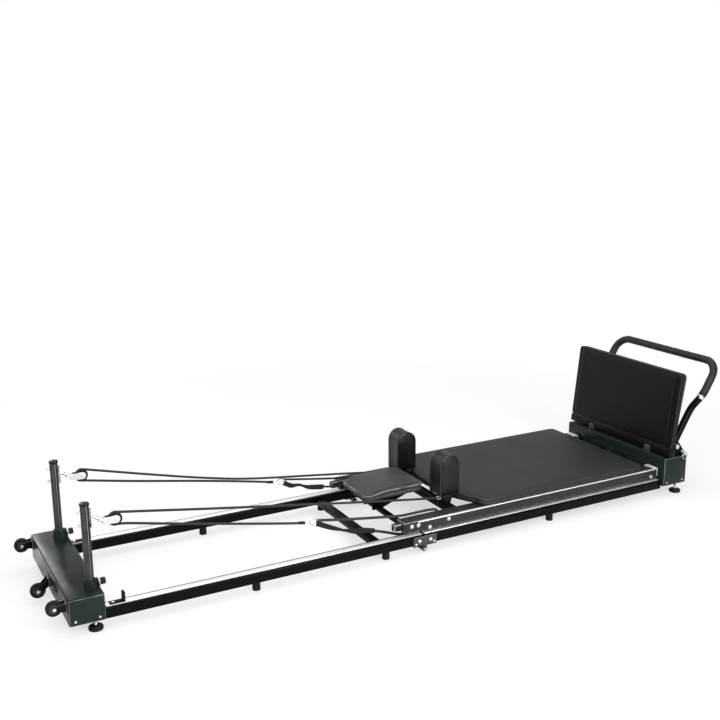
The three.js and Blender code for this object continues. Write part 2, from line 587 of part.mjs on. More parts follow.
// Mat and the board under it: square at the foot end, arched at the head end
function matOutline(margin) {
  const half = MAT.halfWidth - margin;
  const foot = MAT.foot - margin;
  const shape = new THREE.Shape();
  const corner = 22;
  shape.moveTo(foot - corner, -half);
  shape.absarc(foot - corner, -half + corner, corner, -Math.PI / 2, 0);
  shape.lineTo(foot, half - corner);
  shape.absarc(foot - corner, half - corner, corner, 0, Math.PI / 2);
  shape.lineTo(MAT.shoulder + 30, half);
  shape.quadraticCurveTo(MAT.shoulder + margin, half, MAT.shoulder - 6 + margin, half - 36);
  shape.quadraticCurveTo(MAT.head + margin - 14, half * 0.42, MAT.head + margin, 0);
  shape.quadraticCurveTo(MAT.head + margin - 14, -half * 0.42, MAT.shoulder - 6 + margin, -half + 36);
  shape.quadraticCurveTo(MAT.shoulder + margin, -half, MAT.shoulder + 30, -half);
  shape.closePath();
  return shape;
}

const boardBottom = BEAM.top + GAP;
const matBottom = boardBottom + MAT.board + GAP;
add("mat_board", alongZ(matOutline(12), boardBottom, boardBottom + MAT.board, 6), PLYWOOD);
add("mat", cushion(matOutline(0), 44, MAT.pad, 6, MAT.crown).translate(0, 0, matBottom), UPHOLSTERY);

// Headrest pad with lugs that hang on the pin of its crossbar
const restCorners = [[HEADREST.head, -HEADREST.halfWidth], [HEADREST.foot, HEADREST.halfWidth]];
const restOutline = roundedRectangle(...restCorners, 28);
const restPad = cushion(restOutline, 28, HEADREST.pad, 12, HEADREST.crown).translate(0, 0, HEADREST.bottom);
const lug = outline([
  [76, HEADREST.bottom + 4], [76, 136], [83, 130], [93, 130], [99, 136], [99, HEADREST.bottom + 4],
]);
const lugs = [-38, 38].map((y) => alongY(lug, y - 2, y + 2));
const lugBore = rod(4.4, [REST_PIN.x, -60, REST_PIN.z], [REST_PIN.x, 60, REST_PIN.z], 12);
add("headrest_pad", cut(join(restPad, ...lugs), lugBore), UPHOLSTERY);

// Shoulder pads: arched blocks that stand on their bases
for (const [side, s] of SIDES) {
  const r = SHOULDER.length / 2 - 2;
  const rise = SHOULDER.top - SHOULDER.bottom;
  const arch = new THREE.Shape();
  arch.moveTo(-SHOULDER.length / 2, 0);
  arch.lineTo(SHOULDER.length / 2, 0);
  arch.lineTo(SHOULDER.length / 2, rise - r);
  arch.absellipse(0, rise - r, SHOULDER.length / 2, r, 0, Math.PI);
  arch.closePath();
  const pad = cushion(arch, 26, SHOULDER.width - 6, 10, 3);
  pad.rotateX(Math.PI / 2).translate(SHOULDER.x, s * SHOULDER.y + SHOULDER.width / 2 - 3, SHOULDER.bottom);
  add(`shoulder_pad_${side}`, pad, UPHOLSTERY);
}

// Springs: each one unbroken wire, straight at both ends
function springRoute(y) {
  const steps = SPRING.curls * CURL_STEPS;
  const onLine = (x) => new THREE.Vector3(x, y, SPRING.z);
  const route = [onLine(SPRING_ANCHOR_X + 15 + GAP), onLine(SPRING.from - 14)];
  for (let i = 0; i <= steps; i += 1) {
    const angle = (i / CURL_STEPS) * 2 * Math.PI;
    const ease = Math.min(1, i / 6, (steps - i) / 6);
    const x = SPRING.from + (SPRING.to - SPRING.from) * (i / steps);
    const out = ease * SPRING.coil;
    route.push(new THREE.Vector3(x, y + out * Math.sin(angle), SPRING.z + out * Math.cos(angle)));
  }
  route.push(onLine(SPRING.to + 14), onLine(SPRING_BAR_X - 8 - GAP));
  return route;
}

let leastGap = Infinity;
for (let index = 0; index < SPRING.count; index += 1) {
  const route = springRoute(springY(index));
  for (let i = 0; i < route.length; i += 1) {
    for (let j = i + 5; j < route.length; j += 1) {
      leastGap = Math.min(leastGap, route[i].distanceTo(route[j]) - SPRING.wire);
    }
  }
  add(`spring_${index + 1}`, mitredTube(route, SPRING.wire / 2, 5), CHROME);
}
console.log(`least gap of a spring to itself: ${leastGap.toFixed(2)} mm`);

// Ropes: from the eye on the shoulder base over the pulley and back to the snap hook. The far one
// is slack. Each route gives X and Z, and the rope closes in from the pulley to its end evenly.
const ropeRadius = PULLEY.groove + ROPE_RADIUS + 0.6;
const upperRoute = {
  near: [[80, 145.5], [0, 158], [-200, 190], [-450, 232], [-700, 274], [-900, 309], [-1000, 326.5]],
  far: [[80, 143], [0, 150], [-75, 159], [-217, 175], [-450, 202], [-622, 234], [-806, 277], [-1000, 325]],
};
const lowerRoute = {
  near: [[-1000, 290], [-850, 256], [-650, 212], [-480, 176]],
  far: [[-1000, 287.5], [-850, 260], [-650, 226], [-480, 195]],
};
// The hand loop's route from the hook out along its lower side and back along its upper side
const strapRoute = {
  near: [
    [-369, 0, 153], [-301, -1, 120], [-235, -2, 96], [-200, -4, 91], [-150, -4, 79], [-100, -4, 63],
    [-61, 2, 51], [-20, 6, 48], [30, 6, 56], [74, 7, 74], [98, 9, 96], [92, 11, 114], [60, 10, 119],
    [0, 8, 118], [-54, 6, 118], [-120, 4, 126], [-246, 1, 143], [-369, 0, 163],
  ],
  far: [
    [-318, 0, 161], [-288, -1, 145], [-256, -2, 142], [-222, -4, 128], [-160, -4, 118], [-104, -4, 110],
    [-54, 2, 112], [20, 6, 106], [66, 7, 100], [95, 8, 108], [92, 9, 126], [60, 10, 132],
    [0, 8, 130], [-54, 6, 132], [-100, 4, 138], [-211, 1, 156], [-318, 0, 174],
  ],
};
for (const [side, s] of SIDES) {
  const y = s * POST.y;
  const { x: hookX, z: hookZ } = HOOK[side];
  const hookY = s * HOOK_Y;
  const wrap = [90, 120, 150, 180, 210, 240, 270].map((degrees) => {
    const angle = THREE.MathUtils.degToRad(degrees);
    const x = PULLEY.x + ropeRadius * Math.cos(angle);
    return new THREE.Vector3(x, y, PULLEY.z + ropeRadius * Math.sin(angle));
  });
  const between = (route, endX, endY) => route.map(([x, z]) => {
    const share = (x - PULLEY.x) / (endX - PULLEY.x);
    return new THREE.Vector3(x, s * (POST.y + (endY - POST.y) * share), z);
  });
  const upper = between(upperRoute[side], ROPE_EYE.x, ROPE_EYE.y);
  const lower = between(lowerRoute[side], hookX - 24, HOOK_Y);
  const eye = new THREE.Vector3(ROPE_EYE.x, s * ROPE_EYE.y, ROPE_EYE.z);
  const splice = new THREE.Vector3(hookX - 24, hookY, hookZ + 4);
  const ropeLine = [eye, ...upper, ...wrap, ...lower, splice];
  add(`rope_${side}`, mitredTube(ropeLine, ROPE_RADIUS, 8), ROPE_BLACK);

  const strap = strapRoute[side].map(([x, dy, z]) => new THREE.Vector3(x, s * (HOOK_Y + dy), z));
  const hook = [
    rod(6, [hookX - 23, hookY, hookZ + 4], [hookX, hookY, hookZ], 10),
    block([hookX - 2, hookY - 3, hookZ - 13], [hookX + 26, hookY + 3, hookZ + 13]),
  ];
  add(`hand_loop_${side}`, join(mitredTube(strap, STRAP_RADIUS, 8), ...hook), ROPE_BLACK);
}

// The origin is the middle of the footprint
const HEAD_REACH = CASTER.x - CASTER.radius;
const FOOT_REACH = BAR.topX + BAR.radius;
reformer.position.x = -(HEAD_REACH + FOOT_REACH) / 2;

export default reformer;
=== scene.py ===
"""Looks of a folding pilates reformer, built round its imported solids. Lengths are in metres."""
import math

import bmesh
import bpy
from mathutils import Matrix, Vector, noise


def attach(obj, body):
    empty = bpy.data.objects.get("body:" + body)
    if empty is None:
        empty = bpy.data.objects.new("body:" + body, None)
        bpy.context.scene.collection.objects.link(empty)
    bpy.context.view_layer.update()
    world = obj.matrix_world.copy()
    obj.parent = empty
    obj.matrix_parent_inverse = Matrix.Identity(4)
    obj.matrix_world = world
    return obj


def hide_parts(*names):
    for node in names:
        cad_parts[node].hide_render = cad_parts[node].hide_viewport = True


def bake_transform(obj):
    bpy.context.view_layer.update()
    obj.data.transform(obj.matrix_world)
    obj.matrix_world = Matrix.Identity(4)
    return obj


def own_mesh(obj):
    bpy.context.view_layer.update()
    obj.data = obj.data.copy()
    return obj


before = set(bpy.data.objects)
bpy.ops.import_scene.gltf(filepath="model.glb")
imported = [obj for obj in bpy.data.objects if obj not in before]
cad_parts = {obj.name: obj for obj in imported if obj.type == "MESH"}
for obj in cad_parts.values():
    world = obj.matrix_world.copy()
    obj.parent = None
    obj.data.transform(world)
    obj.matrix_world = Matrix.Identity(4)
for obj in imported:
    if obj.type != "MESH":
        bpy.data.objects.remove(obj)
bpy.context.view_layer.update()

# Camera: a 50 mm lens at standing height in front of the near corner of the head end. It looks a
# little down along the frame, with a slight tilt to one side.
camera = bpy.data.objects.new("camera", bpy.data.cameras.new("camera"))
bpy.context.collection.objects.link(camera)
camera.data.lens = 50.297
camera.data.sensor_width = 36.0
camera.data.sensor_fit = "HORIZONTAL"
camera.data.clip_end = 60.0
camera.data.dof.use_dof = False
yaw, pitch, roll = (math.radians(angle) for angle in (-28.07, 13.59, -0.42))
camera.matrix_world = (
    Matrix.Translation((-1.74739, -2.99522, 1.45572))
    @ Matrix.Rotation(yaw, 4, "Z")
    @ Matrix.Rotation(math.pi / 2 - pitch, 4, "X")
    @ Matrix.Rotation(roll, 4, "Z")
)
bpy.context.scene.camera = camera


# Ropes: black braided cord, 8 mm across, one each side. It leaves an eye on the shoulder block's
# base, runs over the post's pulley and comes back below to a snap hook. The turn on the
# sheave is a piece of its own.
FOLD_LINE = 50                     # the frame's middle lies this far towards the foot end, in millimetres


def at(x, y, z):
    """A place in millimetres from the fold line, the centre line and the floor, in metres."""
    return Vector((x - FOLD_LINE, y, z)) / 1000


def flat(points):
    """Outline points in millimetres from the fold line, in metres."""
    return [((x - FOLD_LINE) / 1000, z / 1000) for x, z in points]


def angles(count):
    """Even steps round a full turn."""
    return [2 * math.pi * k / count for k in range(count)]


def hoop(x, y, z, wide, high, count):
    """A closed round line that stands along the frame."""
    steps = angles(count) + [2 * math.pi]
    return [at(x + wide * math.cos(turn), y, z + high * math.sin(turn)) for turn in steps]


def tone(red, green, blue):
    """A colour as a screen shows it, as the linear values a shader takes."""
    screen = [part / 255 for part in (red, green, blue)]
    return (*[part / 12.92 if part < 0.04 else ((part + 0.055) / 1.055) ** 2.4 for part in screen], 1.0)


def effect(name, inputs):
    """An empty shader group with its inputs, for an effect that several finishes share."""
    tree = bpy.data.node_groups.new(name, "ShaderNodeTree")
    for label, value in inputs.items():
        kind = "NodeSocketColor" if isinstance(value, tuple) else "NodeSocketFloat"
        tree.interface.new_socket(label, in_out="INPUT", socket_type=kind).default_value = value
    return tree, tree.nodes.new("NodeGroupInput").outputs


def put_out(tree, results):
    """Ends a shader group with what it puts out, by name."""
    for label in results:
        kind = "NodeSocketColor" if label == "Colour" else "NodeSocketFloat"
        tree.interface.new_socket(label, in_out="OUTPUT", socket_type=kind)
    last = tree.nodes.new("NodeGroupOutput")
    for label, source in results.items():
        tree.links.new(source, last.inputs[label])


def node(tree, kind, links=None, **settings):
    """A node with its properties, its constants and what feeds it."""
    made = tree.nodes.new(kind)
    for key, value in settings.items():
        setattr(made, key, value)
    for socket, source in (links or {}).items():
        if isinstance(source, bpy.types.NodeSocket):
            tree.links.new(source, made.inputs[socket])
        else:
            made.inputs[socket].default_value = source
    return made


def maths(tree, operation, *values):
    """A sum on numbers or on what feeds them."""
    return node(tree, "ShaderNodeMath", dict(enumerate(values)), operation=operation).outputs[0]


def spread(tree, source, *ends):
    """A value spread from one range over another, or over 0 to 1."""
    return node(tree, "ShaderNodeMapRange", {0: source, **dict(enumerate(ends, 1))}).outputs[0]


def between(tree, share, first, second):
    """A colour between two others."""
    return node(tree, "ShaderNodeMix", {0: share, 6: first, 7: second}, data_type="RGBA").outputs[2]


def scaled(tree, colour, share):
    """A colour made lighter or darker."""
    return node(tree, "ShaderNodeVectorMath", {0: colour, "Scale": share}, operation="SCALE").outputs[0]


def spot_on(tree):
    """The place on the object."""
    return node(tree, "ShaderNodeTexCoord").outputs["Object"]


def mottle(tree, spot, scale, detail, **more):
    """Soft random patches."""
    patches = {"Vector": spot, "Scale": scale, "Detail": detail, **more}
    return node(tree, "ShaderNodeTexNoise", patches).outputs[0]


# Strands laid over each other at a slant, read along and around a cord or strap. The raised strands are
# painted lighter and the grooves darker: painted highlight and painted shade.
braid, given = effect("braid", {
    "Across": 6.0, "Along": 300.0, "Colour": tone(14, 14, 15), "Strand": tone(50, 50, 52)})
mapped = node(braid, "ShaderNodeUVMap", uv_map="along").outputs[0]
lie = node(braid, "ShaderNodeSeparateXYZ", {0: mapped}).outputs
around = maths(braid, "MULTIPLY", lie[0], given["Across"])
onwards = maths(braid, "MULTIPLY", lie[1], given["Along"])
waves = [maths(braid, "SINE", maths(braid, "MULTIPLY", maths(braid, way, around, onwards), 2 * math.pi))
         for way in ("ADD", "SUBTRACT")]
lift = spread(braid, maths(braid, "MAXIMUM", *waves), -0.2, 1.0)
put_out(braid, {"Colour": between(braid, lift, given["Colour"], given["Strand"]), "Height": lift})


def bare(name, **fixed):
    """A new material with its constants on the shader itself."""
    material = bpy.data.materials.new(name)
    material.use_nodes = True
    shader = material.node_tree.nodes["Principled BSDF"]
    for socket, value in fixed.items():
        shader.inputs[socket].default_value = value
    return material, material.node_tree, shader


def finish(name, tree, roughness, relief, metallic=0.0, specular=0.5, fixed=None, **values):
    """A material made from a shared effect, with the values that it takes here."""
    material, nodes, shader = bare(name, **{
        "Roughness": roughness, "Metallic": metallic, "Specular IOR Level": specular, **(fixed or {})})
    group = node(nodes, "ShaderNodeGroup", node_tree=tree)
    if "Roughness" in group.inputs:
        values["Roughness"] = roughness
    for socket, value in values.items():
        group.inputs[socket].default_value = value
    for output, socket in (("Colour", "Base Color"), ("Roughness", "Roughness")):
        if output in group.outputs:
            nodes.links.new(group.outputs[output], shader.inputs[socket])
    bump = node(nodes, "ShaderNodeBump", {
        "Height": group.outputs["Height"], "Strength": relief[0], "Distance": relief[1]})
    nodes.links.new(bump.outputs[0], shader.inputs["Normal"])
    return material


def skin(shape, layer, rings, lengths, ends=True):
    """Joins rings of corners into a tube, with how far round and along kept as its UVs."""
    sides = len(rings[0])
    for i in range(len(rings) - 1):
        for k in range(sides):
            after = (k + 1) % sides
            face = shape.faces.new((rings[i][k], rings[i][after], rings[i + 1][after], rings[i + 1][k]))
            spots = ((k, i), (k + 1, i), (k + 1, i + 1), (k, i + 1))
            for loop, (around, step) in zip(face.loops, spots):
                loop[layer].uv = (around / sides, lengths[step])
    if ends:
        shape.faces.new(rings[0][::-1])
        shape.faces.new(rings[-1])
    return shape


def run_tube(points, radii, sides=12, ends=True):
    """A round tube through points."""
    shape = bmesh.new()
    layer = shape.loops.layers.uv.new("along")
    if not hasattr(radii, "__len__"):
        radii = [radii] * len(points)
    way = (points[1] - points[0]).normalized()
    side = way.orthogonal().normalized()
    rings, run, lengths = [], 0.0, []
    for i, point in enumerate(points):
        before, after = points[max(i - 1, 0)], points[min(i + 1, len(points) - 1)]
        heading = (after - before).normalized()
        side = (side - heading * side.dot(heading)).normalized()
        other = heading.cross(side)
        run += (point - before).length
        lengths.append(run)
        rings.append([shape.verts.new(point + radii[i] * (math.cos(turn) * side + math.sin(turn) * other))
                      for turn in angles(sides)])
    return skin(shape, layer, rings, lengths, ends)


def smooth_line(corners, step=0.012):
    """Points close together on a curve through the corners."""
    line = []
    for i in range(len(corners) - 1):
        a, b = corners[max(i - 1, 0)], corners[i]
        c, d = corners[i + 1], corners[min(i + 2, len(corners) - 1)]
        count = max(2, round((c - b).length / step))
        for k in range(count):
            t = k / count
            line.append(0.5 * (2 * b + (c - a) * t + (2 * a - 5 * b + 4 * c - d) * t * t
                               + (3 * b - a - 3 * c + d) * t ** 3))
    return line + [corners[-1]]


# Edge finishes carry a painted highlight: a pale colour along the bevels.
edge_highlight_of = {}                       # finishes whose bevelled edges have a finish of their own


def piece(name, parts, body, nodes=(), sharp=35):
    """One object from shapes and their finishes, which rides on a body and stands for solids."""
    whole = bmesh.new()
    mesh = bpy.data.meshes.new(name)
    for shape, material in parts:
        bmesh.ops.recalc_face_normals(shape, faces=shape.faces)
        pair = (material, edge_highlight_of.get(material.name, material))
        for used in pair:
            if used.name not in mesh.materials:
                mesh.materials.append(used)
        places = [mesh.materials.find(used.name) for used in pair]
        for face in shape.faces:
            face.material_index = places[min(face.material_index, 1)]
        passing = bpy.data.meshes.new("passing")
        shape.to_mesh(passing)
        shape.free()
        whole.from_mesh(passing)
        bpy.data.meshes.remove(passing)
    whole.to_mesh(mesh)
    whole.free()
    mesh.shade_smooth()
    mesh.set_sharp_from_angle(angle=math.radians(sharp))
    made = bpy.data.objects.new(name, mesh)
    bpy.context.collection.objects.link(made)
    if body:
        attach(made, body)
    if nodes:
        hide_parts(*nodes)
    return made


SIDES = (("near", -1), ("far", 1))
braided = finish("braided_rope", braid, 0.75, (0.6, 0.0008), specular=0.3, Across=4.0, Along=120.0)
PULLEY = (-1033, 211, 313)
TURN = 19.6                        # radius of the rope's centre line on the sheave, in millimetres
ROPE_WIDTH = 0.008
EYE = (114.8, 165, 140)            # the rope's end on the shoulder block's base
HOOK = {"near": (-391, 160), "far": (-340, 168)}
HOOK_Y = 190
UPPER = {
    "near": [(80, 145.5), (0, 158), (-200, 190), (-450, 232), (-700, 274), (-900, 309), (-1000, 326.5)],
    "far": [(80, 143), (0, 150), (-75, 159), (-217, 175), (-450, 202), (-622, 234), (-806, 277),
            (-1000, 325)],
}
LOWER = {
    "near": [(-1000, 290), (-850, 256), (-650, 212), (-480, 176)],
    "far": [(-1000, 287.5), (-850, 260), (-650, 226), (-480, 195)],
}


def narrowing(route, s, end):
    """A rope's route in x and z, drawn evenly in from the pulley to its end's distance."""
    return [at(x, s * (PULLEY[1] + (end[1] - PULLEY[1]) * (x - PULLEY[0]) / (end[0] - PULLEY[0])), z)
            for x, z in route]


for side, s in SIDES:
    wrap = [math.radians(90 + 10 * step) for step in range(19)]
    wrap_points = [at(PULLEY[0] + TURN * math.cos(turn), s * PULLEY[1], PULLEY[2] + TURN * math.sin(turn))
                   for turn in wrap]
    top = narrowing([(EYE[0], EYE[2])] + UPPER[side], s, EYE) + [wrap_points[0]]
    hook_x, hook_z = HOOK[side]
    low = [wrap_points[-1]] + narrowing(LOWER[side] + [(hook_x - 24, hook_z + 4)], s, (hook_x - 24, HOOK_Y))
    for strand, corners in (("upper", top), ("lower", low)):
        line = smooth_line(corners)
        rope = piece(f"rope_{strand}_{side}", [(run_tube(line, ROPE_WIDTH / 2, 12), braided)], "head_frame",
                     [f"rope_{side}"] if strand == "upper" else [])
        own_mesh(rope)
    rope_turn = run_tube(wrap_points, ROPE_WIDTH / 2, 12)
    piece(f"rope_turn_{side}", [(rope_turn, braided)], "head_frame", [])


# Snap hooks and hand loops: a plated gate hook ends each rope, and a woven strap hangs from it to
# the shoulder block, with a padded sleeve where the hand goes. Both are sewn back on themselves.
def soften(shape, edges, offset, rounds):
    """Rounds edges over, and marks the new faces for an edge finish, which carries a painted highlight where
    the finish has one.
    """
    made = bmesh.ops.bevel(shape, geom=edges, offset=offset, segments=rounds, affect="EDGES", profile=0.5)
    for face in made["faces"]:
        face.material_index = 1


def block(low, high, bevel=0.0, rounds=2):
    """A block between two corners in metres, with rounded edges."""
    shape = bmesh.new()
    bmesh.ops.create_cube(shape, size=1.0)
    size = [abs(b - a) for a, b in zip(low, high)]
    middle = [(a + b) / 2 for a, b in zip(low, high)]
    place = Matrix.Translation(middle) @ Matrix.Diagonal((*size, 1))
    bmesh.ops.transform(shape, matrix=place, verts=shape.verts)
    if bevel:
        soften(shape, shape.edges[:], bevel, rounds)
    return shape


def flank(s, x, y, z, bevel=0.001, rounds=2):
    """A block on one side of the centre line: ranges along the frame, out from the line, and up."""
    low = at(x[0], min(s * y[0], s * y[1]), z[0])
    high = at(x[1], max(s * y[0], s * y[1]), z[1])
    return block(low, high, bevel, rounds)


def turned(profile, middle, way=(0, 0, 1), sides=32):
    """A lathe-turned form: radius and height in millimetres, about an axis through middle."""
    shape = bmesh.new()
    rings = []
    for radius, height in profile:
        if radius < 1e-6:
            rings.append([shape.verts.new((0, 0, height / 1000))])
        else:
            rings.append([shape.verts.new((radius * math.cos(turn) / 1000, radius * math.sin(turn) / 1000,
                                           height / 1000)) for turn in angles(sides)])
    for low, high in zip(rings, rings[1:]):
        for k in range(sides):
            after = k + 1
            corners = [low[k % len(low)], low[after % len(low)], high[after % len(high)], high[k % len(high)]]
            kept = [vert for i, vert in enumerate(corners) if vert not in corners[:i]]
            if len(kept) > 2:
                shape.faces.new(kept)
    spin = Vector((0, 0, 1)).rotation_difference(Vector(way)).to_matrix().to_4x4()
    bmesh.ops.transform(shape, matrix=Matrix.Translation(middle) @ spin, verts=shape.verts)
    return shape


def mirrored(half, closed=True):
    """A profile from its first half, which ends on the middle or short of it."""
    whole = half + [(radius, -height) for radius, height in reversed(half) if height]
    return whole + half[:1] if closed else whole


def rod(radius, start, end, middle, way=(0, 0, 1), sides=24):
    """A plain round rod between two heights on its axis, in millimetres."""
    return turned([(0, start), (radius, start), (radius, end), (0, end)], middle, way, sides)


def pulled(outline, depth, place, bevel=0.0, rounds=2):
    """A flat outline in metres, pulled through a depth and put in its place."""
    shape = bmesh.new()
    lower = [shape.verts.new((a, b, 0)) for a, b in outline]
    upper = [shape.verts.new((a, b, depth)) for a, b in outline]
    shape.faces.new(lower[::-1])
    shape.faces.new(upper)
    for i in range(len(outline)):
        after = (i + 1) % len(outline)
        shape.faces.new((lower[i], lower[after], upper[after], upper[i]))
    if bevel:
        rims = [edge for edge in shape.edges if (edge.verts[0] in lower) == (edge.verts[1] in lower)]
        soften(shape, rims, bevel, rounds)
    bmesh.ops.transform(shape, matrix=place, verts=shape.verts)
    return shape


def across(y):
    """Puts an outline drawn in x and z at a distance from the centre line, pulled towards it."""
    return Matrix(((1, 0, 0, 0), (0, 0, 1, y), (0, 1, 0, 0), (0, 0, 0, 1)))


STRAP_SECTION = [(-0.5, 0), (-0.42, 0.45), (0, 0.55), (0.42, 0.45),
                 (0.5, 0), (0.42, -0.45), (0, -0.55), (-0.42, -0.45)]


def flat_strap(line, width, thickness, up):
    """A woven strap along a line: flat, with a slight crown, its thin way turned to up."""
    shape = bmesh.new()
    layer = shape.loops.layers.uv.new("along")
    rings, run, lengths = [], 0.0, []
    for i, point in enumerate(line):
        heading = (line[min(i + 1, len(line) - 1)] - line[max(i - 1, 0)]).normalized()
        lift = up[i] if isinstance(up, list) else up
        over = (lift - heading * lift.dot(heading)).normalized()
        broad = heading.cross(over)
        run += (point - line[max(i - 1, 0)]).length
        lengths.append(run)
        rings.append([shape.verts.new(point + broad * width * a + over * thickness * b)
                      for a, b in STRAP_SECTION])
    return skin(shape, layer, rings, lengths)


webbing = finish("black_webbing", braid, 0.8, (0.5, 0.0006), specular=0.3, Across=16.0, Along=330.0,
                 Strand=tone(62, 62, 64))
foam_sleeve = finish("padded_sleeve", braid, 0.85, (0.5, 0.0008), specular=0.25, Across=10.0, Along=160.0,
                     Strand=tone(36, 36, 38))

# Plated steel: fine rubbing marks run along it, and it is duller where it has been handled
plating, given = effect("plating", {"Colour": tone(215, 218, 220), "Roughness": 0.12, "Marks": 0.3})
spot = spot_on(plating)
grain_way = node(plating, "ShaderNodeMapping", {"Vector": spot, "Scale": (900, 900, 25)}).outputs[0]
marked = maths(plating, "MULTIPLY", mottle(plating, grain_way, 1.0, 3.0), given["Marks"])
rubbed = maths(plating, "MULTIPLY_ADD", marked, 0.15, given["Roughness"])
dull = spread(plating, mottle(plating, spot, 22.0, 4.0), 0.35, 0.75, 0.0, 0.16)
put_out(plating, {
    "Colour": between(plating, dull, given["Colour"], tone(120, 122, 124)),
    "Roughness": maths(plating, "ADD", rubbed, dull),
    "Height": marked,
})
chrome = finish("chrome_plate", plating, 0.12, (0.06, 0.0002), metallic=1.0)

STRAP_WIDTH = 0.0095
STRAP = {
    "near": [(-369, 0, 153), (-301, -1, 120), (-235, -2, 96), (-200, -4, 91), (-150, -4, 79), (-100, -4, 63),
             (-61, 2, 51), (-20, 6, 48), (30, 6, 56), (74, 7, 74), (98, 9, 96), (92, 11, 114), (60, 10, 119),
             (0, 8, 118), (-54, 6, 118), (-120, 4, 126), (-246, 1, 143), (-369, 0, 163)],
    "far": [(-318, 0, 161), (-288, -1, 145), (-256, -2, 142), (-222, -4, 128), (-160, -4, 118),
            (-104, -4, 110), (-54, 2, 112), (20, 6, 106), (66, 7, 100), (95, 8, 108), (92, 9, 126),
            (60, 10, 132), (0, 8, 130), (-54, 6, 132), (-100, 4, 138), (-211, 1, 156), (-318, 0, 174)],
}
for side, s in SIDES:
    hook_y = s * HOOK_Y
    hook_x, hook_z = HOOK[side]
    # Gate hook: an eye for the rope, a bent wire bow and a sprung gate
    eye = hoop(hook_x - 15, hook_y, hook_z + 3, 6, 6, 20)
    bow = [at(hook_x + x, hook_y, hook_z + z) for x, z in (
        (-9, 3), (-3, 8), (8, 11), (20, 9), (26, 2), (24, -7), (14, -11), (4, -8), (-2, -2))]
    gate = [at(hook_x + x, hook_y, hook_z + z) for x, z in ((-2, -2), (2, -6), (9, -10))]
    swivel = turned([(0, 0), (3.2, 0), (4.2, 2), (4.2, 8), (3.0, 10), (0, 10)],
                    at(hook_x - 12, hook_y, hook_z + 3), (1, 0, 0.1), 20)
    splice = turned([(0, 0), (4.6, 0), (5.2, 2), (5.2, 20), (4.6, 22), (0, 22)],
                    at(hook_x - 42, hook_y, hook_z + 7), (1, 0, -0.15), 20)
    hook = piece(f"snap_hook_{side}", [
        (run_tube(eye, 0.0016, 10), chrome), (run_tube(smooth_line(bow, 0.002), 0.0021, 10), chrome),
        (run_tube(gate, 0.0013, 8), chrome), (swivel, chrome), (splice, braided)], "head_frame", [])
    strap_line = [at(x, s * (HOOK_Y + dy), z) for x, dy, z in STRAP[side]]
    line = smooth_line(strap_line, 0.008)
    strap = flat_strap(line, STRAP_WIDTH, 0.003, Vector((0, s, 0.5)))
    grip_line = smooth_line(strap_line[:5], 0.004)
    turns = [1.1 * math.pi * (k / len(grip_line)) ** 1.2 for k in range(len(grip_line))]
    lifts = [Vector((0, math.cos(turn), math.sin(turn))) for turn in turns]
    strap = piece(f"hand_strap_{side}", [(strap, webbing)], "head_frame", [f"hand_loop_{side}"])
    padding = flat_strap(grip_line, 0.019, 0.0085, lifts)
    sleeve = piece(f"grip_sleeve_{side}", [(padding, foam_sleeve)], "head_frame", [])
    for soft in (hook, strap, sleeve):
        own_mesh(soft)


# End boxes: folded sheet steel, welded shut and powder-coated a glossy dark green-grey, with a
# pressed cap and two screws at each end. The head box has a collar for each post, with a gusset.
coat, given = effect("powder_coat", {
    "Colour": tone(35, 42, 42), "Painted_edge_highlight": tone(120, 128, 128), "Roughness": 0.25, "Grain": 700.0,
    "Wear": 0.0})
spot = spot_on(coat)
handled = mottle(coat, spot, 9.0, 5.0, Roughness=0.6)
toned = scaled(coat, given["Colour"], spread(coat, handled, 0.3, 0.7, 0.78, 1.2))
# Painted highlight: where the edge share is set, these patches mix the pale edge colour into the coat.
patches = spread(coat, mottle(coat, spot, 60.0, 4.0), 0.35, 0.55, 0.35, 1.0)
put_out(coat, {
    "Colour": between(coat, maths(coat, "MULTIPLY", patches, given["Wear"]), toned, given["Painted_edge_highlight"]),
    "Roughness": maths(coat, "ADD", spread(coat, handled, 0.3, 0.7, -0.05, 0.1), given["Roughness"]),
    "Height": mottle(coat, spot, given["Grain"], 2.0),
})


def painted(name, colour, edge_highlight, roughness, specular, edge_highlight_share=0.0):
    """A coated steel finish, and a copy of it with a painted highlight in patches on its bevelled edges."""
    values = {"Colour": tone(*colour), "Painted_edge_highlight": tone(*edge_highlight)}
    made = finish(name, coat, roughness, (0.08, 0.0002), specular=specular, **values)
    if edge_highlight_share:
        # The edge copy is a painted highlight on the bevels, mixed in by patches.
        edge_highlight_of[name] = finish(f"{name}_edge", coat, roughness, (0.2, 0.0002), Wear=edge_highlight_share, **values)
    return made


# In each coat, the second colour is a painted edge highlight and the last value is its share.
box_paint = painted("box_paint", (27, 33, 33), (190, 196, 192), 0.2, 0.1, 0.75)
cap_paint = painted("cap_paint", (33, 40, 40), (150, 156, 152), 0.3, 0.1, 0.6)
screw_steel = finish("screw_steel", plating, 0.22, (0.1, 0.0002), metallic=1.0)


def dome_screw(middle, way, radius=5.0, rise=3.0):
    """A domed head with a washer under it, standing on middle along way."""
    rim = [(0, 0), (radius * 1.35, 0), (radius * 1.35, 0.9), (radius, 0.9)]
    dome = [(radius * math.cos(t), 0.9 + rise * math.sin(t)) for t in (0.3, 0.6, 0.9, 1.2)]
    return turned([*rim, *dome, (0, 0.9 + rise)], middle, way, 20)


